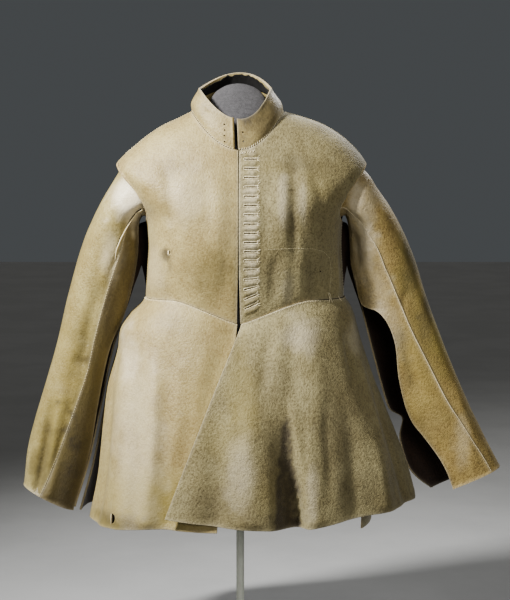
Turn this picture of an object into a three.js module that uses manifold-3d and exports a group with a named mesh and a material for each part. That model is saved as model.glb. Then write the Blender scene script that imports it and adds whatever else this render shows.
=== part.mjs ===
// A buff coat of thick oil-tanned leather on a limbless dress form with a pole and a round base.
// Millimetres, +Z up. The coat's front faces -Y, and its wearer's right is at -X.
// The origin is the centre of the base's underside, and heights in the tables count from WAIST_Z.
import * as THREE from "three";
import { mergeVertices } from "three/addons/utils/BufferGeometryUtils.js";
import Module from "manifold-3d";

const wasm = await Module();
wasm.setup();

// Driving dimensions.
const WAIST_Z = 655;
const BODY_WALL = 4;
const SLEEVE_WALL = 3;
const LINING_WALL = 1;
const SEAM_GAP = 0.4;
const SLEEVE_SEAM_GAP = 0.7;
const FORM_GAP = 0.8;
const BASE_RADIUS = 165;
const BASE_THICKNESS = 10;
const POLE_RADIUS = 7.5;
const POLE_FLANGE_RADIUS = 45;
const FASTENING_COUNT = 17;
const FASTENING_TOP = 268;
const FASTENING_BOTTOM = 2;
const FASTENING_X = 19.5;
const FASTENING_LENGTH = 25;
const FASTENING_HEIGHT = 4.6;
const THREAD_THICKNESS = 1.4;
const THREAD_LIFT = 0.45;

const DEGREE = Math.PI / 180;
const SIDE = 90;
const BACK = 180;

const LEATHER = { color: 0xc9b98f, roughness: 0.85, metalness: 0 };
const NAPPED_LEATHER = { color: 0xb7a67f, roughness: 0.92, metalness: 0 };
const SLEEVE_LEATHER = { color: 0xbca678, roughness: 0.85, metalness: 0 };
const DARK_LINING = { color: 0x241d16, roughness: 0.95, metalness: 0 };
const THREAD = { color: 0xddd2ae, roughness: 0.8, metalness: 0 };
const FORM_CLOTH = { color: 0x8b8b90, roughness: 0.8, metalness: 0 };
const STAND_PAINT = { color: 0xc9c9c4, roughness: 0.5, metalness: 0.1 };

function table(columns, rows) {
  return Object.fromEntries(columns.map((name, i) => [name, rows.map((row) => row[i])]));
}

// The body's level sections from waist to neck. zSide, zFront and zBack are a section's heights
// at the side seam and at the middles of front and back. shift moves its sides along +X.
const BODY = table(
  ["row", "zSide", "zFront", "zBack", "halfWidth", "front", "back", "shift", "square"],
  [
    [-1, -45, -40, -50, 190, 130, 114, 9, 2.5],
    [0, 9, 12, 6, 187.5, 128, 110, 9, 2.5],
    [1, 60, 56, 60, 184.5, 134, 114, 9, 2.45],
    [2, 115, 108, 120, 182, 138, 122, 9, 2.4],
    [3, 165, 150, 172, 189, 135, 127, 8, 2.35],
    [4, 212, 180, 220, 218, 128, 125, 8, 2.3],
    [5, 256, 205, 262, 233, 119, 118, 4, 2.2],
    [6, 297, 232, 300, 197, 109, 103, 8, 2.15],
    [7, 326, 255, 334, 157, 100, 86, 8, 2.1],
    [8, 342, 271, 355, 121, 93, 73, 5, 2.1],
    [9, 355, 285, 370, 86, 86, 62, -4, 2.05],
    [10, 368, 299, 385, 51, 79, 51, -13, 2],
  ],
);
const NECK_ROW = 9;
const WAIST_DIP = 43;
const WAIST_DIP_ANGLE = 38;
const ARMHOLE = { row: 3.85, height: 1.2, frontAngle: 29, backAngle: 24 };

// The standing collar's sections from its seam to its rim.
const COLLAR = table(
  ["row", "zSide", "zFront", "zBack", "halfWidth", "front", "back", "shift", "square"],
  [
    [0, 355.6, 285.6, 370.6, 86, 86, 62, -4, 2.05],
    [1, 371, 305, 390, 85, 83.5, 62.5, -6.5, 2.05],
    [2, 386, 324, 411, 76.5, 78, 59, -8, 2.05],
    [3, 399, 341, 430, 67, 71, 54, -8.5, 2.05],
  ],
);

// The form's foot under the waist, and its neck: rings that tilt from low in front to high behind.
const FORM_FOOT = { z: -150, halfWidth: 160, front: 104, back: 92, shift: 4, upper: 0.55 };
const FORM_NECK_SHIFT = -3;
const FORM_NECK_TOP = 388;
const FORM_NECK = table(
  ["halfWidth", "front", "back", "low", "high"],
  [
    [66, 64, 50, 300, 376],
    [55, 53, 44, 318, 388],
    [53, 51, 42, 336, 404],
    [46, 44, 36, 347, 409],
    [26, 25, 20, 366, 403],
  ],
);
const ARMHOLE_ROOM = { depth: 22, near: 1.1, far: 2 };
const BODY_EASE = 5;

// The stand's fittings. Heights count down from the form and up from the base.
const FIT_GAP = 0.3;
const BASE_BEVEL = 2;
const POLE_FOOT = { radius: 20, height: 12, top: 20 };
const POLE_HEAD = { height: 6, taper: 14 };

// The skirts' half widths, depths and outline from the waist seam, drop 0, to the hem, drop 1.
const SKIRT = table(
  ["drop", "frontRight", "frontLeft", "backRight", "backLeft", "front", "back", "square"],
  [
    [0, 187.5, 187.5, 187.5, 187.5, 128, 110, 2.5],
    [0.03, 192, 201, 192, 199, 134, 116, 2.45],
    [0.07, 206, 214, 206, 209, 141, 122, 2.4],
    [0.14, 226, 222, 226, 214, 152, 130, 2.35],
    [0.23, 232, 231, 233, 219, 165, 140, 2.3],
    [0.39, 249, 252, 252, 229, 185, 156, 2.25],
    [0.55, 258, 276, 264, 237, 202, 171, 2.2],
    [0.79, 270, 312, 286, 246, 220, 191, 2.2],
    [1, 289, 336, 311, 252, 232, 206, 2.2],
  ],
);

// The skirts' tops are shifted sideways as the body's waist is, down to this drop.
const WAIST_SHIFT = 9;
const WAIST_SHIFT_DROP = 0.07;

// The hem's height round each skirt, by angle from the front.
const FRONT_HEM = table(
  ["angle", "rightHem", "leftHem"],
  [
    [-90, -413, -366],
    [-60, -409, -366],
    [-28, -395, -370],
    [-9, -395, -380],
    [4, -396, -389],
    [19, -396, -391],
    [35, -396, -379],
    [60, -396, -372],
    [90, -396, -374],
  ],
);
const BACK_HEM = table(
  ["angle", "rightHem", "leftHem"],
  [
    [0, -405, -402],
    [40, -402, -404],
    [65, -404, -408],
    [90, -408, -414],
    [120, -408, -419],
  ],
);

// Folds that run up from the hem. angle is the fold's middle, before and after its widths in
// degrees, depth how far it goes in (or out, if negative), start the drop where it fades out.
const FOLD_COLUMNS = ["angle", "before", "after", "depth", "start"];
const FOLDS = {
  skirt_front_right: table(FOLD_COLUMNS, [
    [-72, 14, 12, 7, 0.3],
    [-47, 10, 12, -6, 0.25],
    [-27, 12, 9, 8, 0.4],
  ]),
  skirt_front_left: table(FOLD_COLUMNS, [
    [-8, 8, 9, 5, 0.3],
    [17.5, 10.5, 2.6, 34, 0.42],
    [38, 10, 10, 6, 0.2],
    [52, 9, 9, -7, 0.1],
    [70, 11, 11, 8, 0.25],
  ]),
  skirt_back_left: table(FOLD_COLUMNS, [
    [104, 12, 10, 9, 0.25],
    [136, 9, 14, 24, 0.35],
    [160, 10, 9, -7, 0.3],
  ]),
  skirt_back_right: table(FOLD_COLUMNS, [
    [-158, 12, 9, 20, 0.4],
    [-137, 10, 10, -8, 0.25],
    [-116, 10, 12, 13, 0.3],
  ]),
};

// The free front edges of the skirts: x at the waist and at the hem.
const LAP_EDGE = { waist: 3.5, hem: -129 };
const UNDER_EDGE = { waist: -3.5, hem: -40 };
// The left back skirt hangs straight, with its front edge inside the left front one.
const TUCKED_VENT = { from: 0.2, full: 1.3, degrees: 26 };
const LAP_LIFT = 5;
const UNDER_SINK = 3.6;
const LAP_START = 0.06;
const HEM_PULL = { depth: 5, degrees: -28 };

// The sleeves' sections. x and z are the middle, tilt turns the section outwards from level.
const SLEEVE_COLUMNS = [
  "along", "x", "z", "halfWidth", "tilt", "y", "front", "back", "square",
];
const SLEEVE_EDGE_COLUMNS = ["along", "seam", "free", "opening"];
const RIGHT_SLEEVE = {
  sign: -1,
  sections: table(SLEEVE_COLUMNS, [
    [60, 227, 164, 42, 33, 3, 60, 52, 2],
    [135, 245, 98, 53, 16, 4, 55, 50, 2.1],
    [230, 269, 5, 57, 15, 2, 52, 48, 2.1],
    [323, 294.5, -86, 54, 15, -2, 48, 46, 2.1],
    [430, 321, -192, 58, 15, -8, 46, 44, 2.1],
    [530, 345, -292, 61, 18, -16, 43, 42, 2.1],
    [612, 363, -374, 55, 27, -24, 40, 38, 2.1],
  ]),
  edges: table(SLEEVE_EDGE_COLUMNS, [
    [0, -32, -66, 262],
    [65, -35, -76, 258],
    [170, -20, -84, 254],
    [240, -16, -78, 252],
    [300, -18, -62, 252],
    [360, -20, -60, 253],
    [430, -13, -62, 254],
    [490, -6, -67, 253],
    [565, 4, -66, 251],
    [612, 15, -66, 250],
  ]),
};
const LEFT_SLEEVE = {
  sign: 1,
  sections: table(SLEEVE_COLUMNS, [
    [60, 246, 152, 45, 28, 4, 60, 54, 2.1],
    [135, 268, 76, 60, 17, 6, 56, 54, 2.4],
    [230, 291, -4, 63, 15, 6, 54, 54, 2.7],
    [300, 313, -74, 67, 16, 4, 52, 54, 2.8],
    [400, 344, -165, 72, 21, 0, 50, 52, 2.7],
    [525, 391, -284, 79, 24, -10, 46, 48, 2.4],
    [600, 421, -345, 80, 22, -18, 42, 44, 2.3],
  ]),
  edges: table(SLEEVE_EDGE_COLUMNS, [
    [0, -36, -66, 258],
    [60, -23, -76, 256],
    [110, -4, -78, 252],
    [155, 0, -68, 248],
    [215, 3, -66, 246],
    [234, 4, -27, 246],
    [285, 7, -12, 246],
    [365, 15, -23, 250],
    [420, 20, -28, 250],
    [450, 24, -26, 219],
    [480, 30, -18, 246],
    [525, 37, -10, 256],
    [560, 42, -9, 243],
    [600, 44, -12, 222],
  ]),
};

// Holes that wear has made, cut through a wall: x, y and z are a hole's place, and turn faces it.
const HEM_RIP = { x: -217, y: -140, z: -388, width: 14, height: 18, turn: -52 };
const HOLE_DEPTH = 60;
const CHEST_TEAR = { x: -137, y: -118, z: 98, width: 5, height: 7, turn: -35 };

function signedPower(value, power) {
  return Math.sign(value) * Math.abs(value) ** power;
}

function mix(from, to, share) {
  return from + (to - from) * share;
}

function ramp(low, high, value) {
  const share = Math.min(1, Math.max(0, (value - low) / (high - low)));
  return share * share * (3 - 2 * share);
}

// A smooth curve through (keys, values), with the slopes of its neighbours' chords.
function curve(keys, values, at) {
  const last = keys.length - 1;
  const slope = (i) => {
    const before = Math.max(0, i - 1);
    const after = Math.min(last, i + 1);
    return (values[after] - values[before]) / (keys[after] - keys[before]);
  };
  let i = 0;
  while (i < last - 1 && at > keys[i + 1]) {
    i += 1;
  }
  const span = keys[i + 1] - keys[i];
  const t = Math.min(1, Math.max(0, (at - keys[i]) / span));
  const rise = values[i] * (1 + 2 * t) * (1 - t) ** 2 + values[i + 1] * (3 - 2 * t) * t ** 2;
  return rise + span * (slope(i) * t * (1 - t) ** 2 - slope(i + 1) * (1 - t) * t ** 2);
}

// A point of a saddle-shaped section: a superellipse whose height changes from side to middle.
function sectionPoint(sections, row, angle) {
  const at = (name) => curve(sections.row, sections[name], row);
  const sine = Math.sin(angle * DEGREE);
  const cosine = Math.cos(angle * DEGREE);
  const power = 2 / at("square");
  const depth = cosine > 0 ? at("front") : at("back");
  const zMiddle = cosine > 0 ? at("zFront") : at("zBack");
  return new THREE.Vector3(
    at("halfWidth") * signedPower(sine, power) + at("shift") * sine ** 2,
    -depth * signedPower(cosine, power),
    WAIST_Z + mix(at("zSide"), zMiddle, cosine ** 2),
  );
}

// The waist seam drops to a point in the middle of the front.
function waistDip(angle) {
  return WAIST_DIP * Math.max(0, 1 - Math.abs(angle) / WAIST_DIP_ANGLE) ** 1.6;
}

function bodyPoint(row, angle) {
  const point = sectionPoint(BODY, row, angle);
  point.z -= waistDip(angle) * Math.max(0, 1 - Math.max(0, row) / 1.25) ** 2;
  return point;
}

function collarPoint(row, angle) {
  return sectionPoint(COLLAR, row, angle);
}

// The outward normal of a surface at (up, round), from its neighbours on both sides.
function outward(surface, up, round, stepUp, stepRound, facing) {
  const along = surface(up, round + stepRound).sub(surface(up, round - stepRound));
  const rise = surface(up + stepUp, round).sub(surface(up - stepUp, round));
  return along.cross(rise).normalize().multiplyScalar(facing);
}

// A surface, its steps for the normal, and a point at a depth under it.
class Cloth {
  constructor(surface, stepUp, stepRound, facing) {
    this.surface = surface;
    this.steps = [stepUp, stepRound, facing];
  }

  at(up, round, depth) {
    const normal = outward(this.surface, up, round, ...this.steps);
    return this.surface(up, round).addScaledVector(normal, -depth);
  }

  // The change of round that is a length across the surface.
  across(up, round, length) {
    const step = this.steps[1];
    const chord = this.surface(up, round + step).distanceTo(this.surface(up, round - step));
    return (length * 2 * step) / chord;
  }
}

const bodyCloth = new Cloth(bodyPoint, 0.02, 0.5, 1);
const collarCloth = new Cloth(collarPoint, 0.02, 0.5, 1);

function geometryOf(points, triangles) {
  const geometry = new THREE.BufferGeometry();
  const values = points.flatMap((point) => [point.x, point.y, point.z]);
  geometry.setAttribute("position", new THREE.Float32BufferAttribute(values, 3));
  geometry.setIndex(triangles);
  return geometry;
}

function signedVolume(points, triangles) {
  let volume = 0;
  for (let i = 0; i < triangles.length; i += 3) {
    const [a, b, c] = triangles.slice(i, i + 3).map((corner) => points[corner]);
    volume += a.dot(b.clone().cross(c)) / 6;
  }
  return volume;
}

// Closes a skin of quads, turned so that its faces point out.
function closedGeometry(points, quads) {
  const triangles = quads.flatMap(([a, b, c, d]) => [a, b, c, a, c, d]);
  if (signedVolume(points, triangles) < 0) {
    triangles.reverse();
  }
  return geometryOf(points, triangles);
}

// A wall between two grids of points: both skins and the rims round their edges.
function wall(outer, inner) {
  const rows = outer.length;
  const columns = outer[0].length;
  const points = [...outer.flat(), ...inner.flat()];
  const top = (row, column) => row * columns + column;
  const under = (row, column) => rows * columns + top(row, column);
  const quads = [];
  for (let row = 0; row < rows - 1; row += 1) {
    for (let column = 0; column < columns - 1; column += 1) {
      const corners = [[row, column], [row, column + 1], [row + 1, column + 1], [row + 1, column]];
      quads.push(corners.map((corner) => top(...corner)));
      quads.push(corners.map((corner) => under(...corner)).reverse());
    }
  }
  for (let column = 0; column < columns - 1; column += 1) {
    quads.push([top(0, column + 1), top(0, column), under(0, column), under(0, column + 1)]);
    const end = rows - 1;
    quads.push([top(end, column), top(end, column + 1), under(end, column + 1), under(end, column)]);
  }
  for (let row = 0; row < rows - 1; row += 1) {
    quads.push([top(row, 0), top(row + 1, 0), under(row + 1, 0), under(row, 0)]);
    const end = columns - 1;
    quads.push([top(row + 1, end), top(row, end), under(row, end), under(row + 1, end)]);
  }
  return closedGeometry(points, quads);
}

// A panel of cloth: rows of (up, round) places on a surface, and its thickness.
function panel(cloth, places, thickness) {
  const skin = (depth) => places.map((row) => row.map(([up, round]) => cloth.at(up, round, depth)));
  return wall(skin(0), skin(thickness));
}

// Places for a panel: for each row, its two edges and the shares between them.
function placesBetween(rows, firstEdge, lastEdge, shares) {
  return rows.map((row) => shares.map((share) => [row, mix(firstEdge(row), lastEdge(row), share)]));
}

function evenShares(count) {
  return Array.from({ length: count + 1 }, (_, i) => i / count);
}

// ---- body ----------------------------------------------------------------------------------

const ARMHOLE_STEPS = 8;
const armholeRows = evenShares(ARMHOLE_STEPS).map(
  (share) => ARMHOLE.row + ARMHOLE.height * Math.sin((share * 2 - 1) * SIDE * DEGREE),
);
const bodyRows = [0, 0.4, 0.9, 1.5, 2.1, ...armholeRows, 5.5, 6, 6.6, 7.3, 8, 8.5, 9];

// How far the armhole's edge lies from the side seam, in degrees, at a row.
function armholeReach(row, angle) {
  const height = Math.min(1, Math.abs(row - ARMHOLE.row) / ARMHOLE.height);
  return angle * Math.sqrt(1 - height ** 2);
}

// The angle of a side edge: the armhole's edge, or the seam less half its gap.
function bodyFrontSide(row, sign) {
  const seam = SIDE - bodyCloth.across(row, SIDE, SEAM_GAP / 2);
  return sign * (seam - armholeReach(row, ARMHOLE.frontAngle));
}

function bodyBackSide(row, sign) {
  const seam = SIDE + bodyCloth.across(row, SIDE, SEAM_GAP / 2);
  return sign * (seam + armholeReach(row, ARMHOLE.backAngle));
}

// The angle at which a section passes x.
function angleAtX(sections, row, x) {
  const halfWidth = curve(sections.row, sections.halfWidth, row);
  const square = curve(sections.row, sections.square, row);
  return Math.asin(signedPower(x / halfWidth, square / 2)) / DEGREE;
}

// x on the fronts' meeting edges, which part a little at the waist.
const FRONT_OPENING = table(
  ["row", "right", "left"],
  [
    [0, -4.5, 1.5],
    [1.2, -2.8, -0.6],
    [9, -2.6, -0.8],
  ],
);
const FRONT_SHARES = [0, 0.08, 0.17, 0.27, 0.38, 0.5, 0.62, 0.74, 0.87, 1];

function bodyFrontPlaces(sign) {
  const side = sign < 0 ? "right" : "left";
  const edgeAt = (row) => curve(FRONT_OPENING.row, FRONT_OPENING[side], row);
  const middle = (row) => angleAtX(BODY, row, edgeAt(row));
  return placesBetween(bodyRows, middle, (row) => bodyFrontSide(row, sign), FRONT_SHARES);
}

function bodyFront(sign) {
  return panel(bodyCloth, bodyFrontPlaces(sign), BODY_WALL);
}

// The corners of the fronts' lower edges, which the front skirts hang from.
const waistCorners = {
  right: bodyFrontPlaces(-1)[0].map(([row, angle]) => bodyPoint(row, angle)),
  left: bodyFrontPlaces(1)[0].map(([row, angle]) => bodyPoint(row, angle)),
};

const BACK_SHARES = evenShares(14);

function bodyBack() {
  const left = (row) => bodyBackSide(row, 1);
  const right = (row) => 2 * BACK + bodyBackSide(row, -1);
  return panel(bodyCloth, placesBetween(bodyRows, left, right, BACK_SHARES), BODY_WALL);
}

// ---- collar --------------------------------------------------------------------------------

const COLLAR_OPENING = table(["row", "left", "right"], [[0, -2.2, -9.5], [3, -4.6, -12]]);
const COLLAR_ROWS = [0, 0.5, 1, 1.5, 2, 2.5, 3];
const COLLAR_COLUMNS = 24;

function collar() {
  const edge = (side) => (row) =>
    angleAtX(COLLAR, row, curve(COLLAR_OPENING.row, COLLAR_OPENING[side], row));
  const right = (row) => 2 * BACK + edge("right")(row);
  const places = placesBetween(COLLAR_ROWS, edge("left"), right, evenShares(COLLAR_COLUMNS));
  return panel(collarCloth, places, BODY_WALL);
}

// What is left of the lining stands inside the back of the collar, torn along its top.
const LINING = { from: 98, to: 262, bottom: 1.6, top: 2.93, tear: 0.2, columns: 20 };

function collarLining() {
  const depth = BODY_WALL + 2 * SEAM_GAP;
  const columns = evenShares(LINING.columns).map((share) => mix(LINING.from, LINING.to, share));
  const top = (i) => LINING.top - LINING.tear * (0.5 + 0.5 * Math.sin(i * 2.3) * Math.cos(i * 0.9));
  const skin = (extra) =>
    [0, 0.5, 1].map((share) =>
      columns.map((angle, i) =>
        collarCloth.at(mix(LINING.bottom, top(i), share), angle, depth + extra)));
  return wall(skin(0), skin(LINING_WALL));
}

// ---- skirts --------------------------------------------------------------------------------

// Depth of the folds of a panel at (drop, angle): each is a raised cosine, uneven on its two sides.
function foldDepth(folds, drop, angle) {
  return folds.angle.reduce((sum, middle, i) => {
    const away = angle - middle;
    const width = away < 0 ? folds.before[i] : folds.after[i];
    const near = Math.max(0, 1 - Math.abs(away) / width);
    const shape = 0.5 - 0.5 * Math.cos(near * Math.PI);
    return sum + folds.depth[i] * shape * ramp(folds.start[i], 1.05, drop);
  }, 0);
}

function hemHeight(name, angle) {
  const isBack = name.includes("back");
  const hem = isBack ? BACK_HEM : FRONT_HEM;
  const key = isBack ? BACK - Math.abs(angle) : angle;
  return curve(hem.angle, hem[name.includes("left") ? "leftHem" : "rightHem"], key);
}

// x on the straight front edge of a skirt.
function edgeX(edge, drop) {
  return mix(edge.waist, edge.hem, drop);
}

function skirtAngleAtX(drop, x) {
  const halfWidth = curve(SKIRT.drop, x < 0 ? SKIRT.frontRight : SKIRT.frontLeft, drop);
  const square = curve(SKIRT.drop, SKIRT.square, drop);
  return Math.asin(signedPower(x / halfWidth, square / 2)) / DEGREE;
}

// How far a front skirt's surface moves in where the left one laps over the right one.
function lapDepth(name, drop, angle) {
  const lapAngle = skirtAngleAtX(drop, edgeX(LAP_EDGE, drop));
  if (name === "skirt_front_left") {
    const lift = LAP_LIFT * ramp(0, LAP_START, drop) * ramp(12, -2, angle);
    return -lift - HEM_PULL.depth * drop * ramp(0, HEM_PULL.degrees, angle);
  }
  return UNDER_SINK * ramp(0, LAP_START, drop) * ramp(lapAngle - 10, lapAngle - 1, angle);
}

// The height of the fronts' lower edge at an angle, straight between the corners of its facets.
function waistEdgeHeight(angle) {
  const corners = angle < 0 ? waistCorners.right : waistCorners.left;
  const x = Math.abs(bodyPoint(0, angle).x);
  const found = corners.findIndex((corner) => Math.abs(corner.x) >= x);
  const i = found < 0 ? corners.length - 1 : Math.max(1, found);
  const [a, b] = [corners[i - 1], corners[i]];
  return mix(a.z, b.z, Math.min(1, Math.max(0, (x - Math.abs(a.x)) / Math.abs(b.x - a.x))));
}

function skirtSurface(name) {
  return (up, angle) => {
    const drop = -up;
    const at = (column) => curve(SKIRT.drop, SKIRT[column], drop);
    const sine = Math.sin(angle * DEGREE);
    const cosine = Math.cos(angle * DEGREE);
    const power = 2 / at("square");
    const isBack = name.includes("back");
    const end = isBack ? "back" : "front";
    const halfWidth = at(end + (sine < 0 ? "Right" : "Left"));
    const depth = at(end);
    const waistZ = (isBack ? bodyPoint(0, angle).z : waistEdgeHeight(angle)) - SEAM_GAP;
    const lap = isBack ? 0 : lapDepth(name, drop, angle);
    const inwards = foldDepth(FOLDS[name], drop, angle) + lap;
    const shift = WAIST_SHIFT * sine ** 2 * Math.max(0, 1 - Math.max(0, drop) / WAIST_SHIFT_DROP);
    return new THREE.Vector3(
      halfWidth * signedPower(sine, power) + shift - inwards * sine,
      -depth * signedPower(cosine, power) + inwards * cosine,
      mix(waistZ, WAIST_Z + hemHeight(name, angle), drop),
    );
  };
}

const SKIRT_DROPS = [0, 0.025, 0.06, 0.11, 0.18, 0.28, 0.4, 0.52, 0.64, 0.76, 0.88, 1];

function skirt(name, firstEdge, lastEdge, shares) {
  const cloth = new Cloth(skirtSurface(name), 0.01, 0.4, 1);
  const rows = SKIRT_DROPS.map((drop) => -drop);
  const first = (up) => firstEdge(-up, cloth);
  const last = (up) => lastEdge(-up, cloth);
  return panel(cloth, placesBetween(rows, first, last, shares), BODY_WALL);
}

// The angle of a side vent's edge: half a seam's gap at the waist, and apart at the hem.
function ventEdge(angle, towards, hemGap) {
  return (drop, cloth) =>
    angle + towards * cloth.across(-drop, angle, mix(SEAM_GAP / 2, hemGap, drop ** 2));
}

// The right front skirt has a column under each of the body's, and one between every two.
function underShares() {
  const between = FRONT_SHARES.slice(1).map((share, i) => (share + FRONT_SHARES[i]) / 2);
  return [...FRONT_SHARES, ...between].map((share) => 1 - share).sort((a, b) => a - b);
}

function tuckedVentEdge(drop, cloth) {
  const seam = ventEdge(SIDE, 1, 0)(drop, cloth);
  const share = (at) => ramp(TUCKED_VENT.from, TUCKED_VENT.full, at);
  return seam - (TUCKED_VENT.degrees * share(drop)) / share(1);
}

const LAP_SHARES = [
  0, 0.06, 0.12, 0.18, 0.24, 0.29, 0.325, 0.36, 0.38, 0.395, 0.415, 0.45, 0.5, 0.56, 0.62, 0.68,
  0.74, 0.8, 0.86, 0.92, 0.97, 1,
];

// ---- sleeves -------------------------------------------------------------------------------

const TUCK = [
  { along: 0, scale: 1.08, depth: BODY_WALL + 3.5 },
  { along: 14, scale: 0.95, depth: BODY_WALL + 3.8 },
];
const HEAD_ALONG = 26;
const UNDERARM = { scale: 0.78, depth: -3.5, share: 0.35 };

// A point of the armhole's outline, scaled about its middle, at a depth under the body.
// turn is 90 at the shoulder's tip, 0 in front, -90 under the arm and 180 behind.
function armholePoint(sign, turn, scale, depth) {
  const sine = Math.sin(turn * DEGREE);
  const cosine = Math.cos(turn * DEGREE);
  const reach = cosine > 0 ? ARMHOLE.frontAngle : ARMHOLE.backAngle;
  const row = ARMHOLE.row + ARMHOLE.height * scale * sine;
  return bodyCloth.at(row, sign * (SIDE - reach * scale * cosine), depth);
}

// A point of one of the sleeve's own sections.
function sleeveSectionPoint(sleeve, i, turn) {
  const section = Object.fromEntries(SLEEVE_COLUMNS.map((name) => [name, sleeve.sections[name][i]]));
  const sine = Math.sin(turn * DEGREE);
  const cosine = Math.cos(turn * DEGREE);
  const power = 2 / section.square;
  const reach = section.halfWidth * signedPower(sine, power);
  const depth = (cosine > 0 ? section.front : section.back) * signedPower(cosine, power);
  return new THREE.Vector3(
    sleeve.sign * (section.x + reach * Math.cos(section.tilt * DEGREE)),
    section.y - depth,
    WAIST_Z + section.z + reach * Math.sin(section.tilt * DEGREE),
  );
}

// The places that one line along the sleeve goes through, from under the armhole to the cuff.
function sleeveLine(sleeve, turn) {
  const tucked = TUCK.map((place) => armholePoint(sleeve.sign, turn, place.scale, place.depth));
  const first = sleeveSectionPoint(sleeve, 0, turn);
  const under = ramp(0.05, 0.75, -Math.sin(turn * DEGREE));
  const over = armholePoint(sleeve.sign, turn, UNDERARM.scale, UNDERARM.depth);
  const head = tucked[1].clone().lerp(first, UNDERARM.share).lerp(over, under);
  const rest = sleeve.sections.along.map((_, i) => sleeveSectionPoint(sleeve, i, turn));
  return [...tucked, head, ...rest];
}

function sleeveSurface(sleeve) {
  const keys = [...TUCK.map((place) => place.along), HEAD_ALONG, ...sleeve.sections.along];
  return (up, turn) => {
    const line = sleeveLine(sleeve, turn);
    const at = (axis) => curve(keys, line.map((point) => point[axis]), -up);
    return new THREE.Vector3(at("x"), at("y"), at("z"));
  };
}

const SLEEVE_ALONG_SHARES = [
  0.035, 0.065, 0.1, 0.14, 0.18, 0.24, 0.31, 0.38, 0.46, 0.54, 0.62, 0.7, 0.77, 0.85, 0.93, 1,
];

function sleeveRows(sleeve) {
  const length = sleeve.sections.along.at(-1);
  return [0, 10, ...SLEEVE_ALONG_SHARES.map((share) => share * length)].map((along) => -along);
}

function sleevePiece(sleeve, firstColumn, lastColumn, columns) {
  const cloth = new Cloth(sleeveSurface(sleeve), 1, 1, sleeve.sign);
  const edge = (column, up) => curve(sleeve.edges.along, sleeve.edges[column], -up);
  const gap = (up) => cloth.across(up, edge("seam", up), SLEEVE_SEAM_GAP / 2);
  const first = (up) => edge(firstColumn, up) + (firstColumn === "seam" ? gap(up) : 0);
  const last = (up) => edge(lastColumn, up) - (lastColumn === "seam" ? gap(up) : 0);
  const places = placesBetween(sleeveRows(sleeve), first, last, evenShares(columns));
  return panel(cloth, places, SLEEVE_WALL);
}

// ---- worked slits --------------------------------------------------------------------------

// The place (row, angle) of the body's front that lies at x and z.
function frontPlace(x, z) {
  let low = 0;
  let high = NECK_ROW;
  for (let step = 0; step < 24; step += 1) {
    const middle = (low + high) / 2;
    if (bodyPoint(middle, angleAtX(BODY, middle, x)).z < WAIST_Z + z) {
      low = middle;
    } else {
      high = middle;
    }
  }
  return [low, angleAtX(BODY, low, x)];
}

// A thread ring round a slit: a stadium of square thread that lies on the left front.
function fastening(i) {
  const z = mix(FASTENING_TOP, FASTENING_BOTTOM, i / (FASTENING_COUNT - 1));
  const radius = FASTENING_HEIGHT / 2;
  const straight = FASTENING_LENGTH / 2 - radius;
  const ring = (inset, lift) =>
    [-90, -30, 30, 90, 90, 150, 210, 270].map((turn, k) => {
      const middle = FASTENING_X + (k < 4 ? straight : -straight);
      const reach = radius - inset;
      const place = frontPlace(
        middle + reach * Math.cos(turn * DEGREE),
        z + reach * Math.sin(turn * DEGREE),
      );
      return bodyCloth.at(...place, -lift);
    });
  const high = THREAD_LIFT + THREAD_THICKNESS;
  const rings = [
    ring(0, THREAD_LIFT),
    ring(0, high),
    ring(THREAD_THICKNESS, high),
    ring(THREAD_THICKNESS, THREAD_LIFT),
  ];
  const count = rings[0].length;
  const quads = [];
  for (let side = 0; side < rings.length; side += 1) {
    for (let k = 0; k < count; k += 1) {
      const next = (k + 1) % count;
      const nextSide = (side + 1) % rings.length;
      quads.push([
        side * count + k, side * count + next, nextSide * count + next, nextSide * count + k,
      ]);
    }
  }
  return closedGeometry(rings.flat(), quads);
}

// ---- dress form and stand ------------------------------------------------------------------

// Closed rings of points become one solid, with a fan at each end.
function lofted(rings, bottom, top) {
  const count = rings[0].length;
  const points = [...rings.flat(), bottom, top];
  const bottomIndex = points.length - 2;
  const topIndex = points.length - 1;
  const triangles = [];
  for (let row = 0; row < rings.length - 1; row += 1) {
    for (let k = 0; k < count; k += 1) {
      const next = (k + 1) % count;
      const [a, b] = [row * count + k, row * count + next];
      triangles.push(a, b, b + count, a, b + count, a + count);
    }
  }
  const last = (rings.length - 1) * count;
  for (let k = 0; k < count; k += 1) {
    const next = (k + 1) % count;
    triangles.push(bottomIndex, next, k);
    triangles.push(topIndex, last + k, last + next);
  }
  if (signedVolume(points, triangles) < 0) {
    triangles.reverse();
  }
  return geometryOf(points, triangles);
}

// The angles that the body's panels use, so that the form lies evenly under their facets.
function formAngles() {
  const front = FRONT_SHARES.slice(1).map((share) => share * SIDE);
  const back = BACK_SHARES.slice(1, -1).map((share) => SIDE + share * 2 * SIDE);
  return [0, ...front, ...back, ...[...front].reverse().map((angle) => -angle)];
}

// How deep the form lies under the coat: close under the shoulders, with room at the armholes.
function formDepth(row, angle) {
  const turned = angle > BACK ? 2 * BACK - angle : Math.abs(angle);
  const reach = turned < SIDE ? ARMHOLE.frontAngle : ARMHOLE.backAngle;
  const away = Math.hypot((row - ARMHOLE.row) / ARMHOLE.height, (turned - SIDE) / reach);
  const room = ARMHOLE_ROOM.depth * (1 - ramp(ARMHOLE_ROOM.near, ARMHOLE_ROOM.far, away));
  return BODY_WALL + FORM_GAP + room + BODY_EASE * (1 - ramp(1, 6, row));
}

const FORM_ROWS = [0, 1.2, 2.1, 2.65, 3.4, 3.85, 4.5, 5.05, 5.5, 6, 6.6, 7.3, 8, 8.5, 9];

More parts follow.
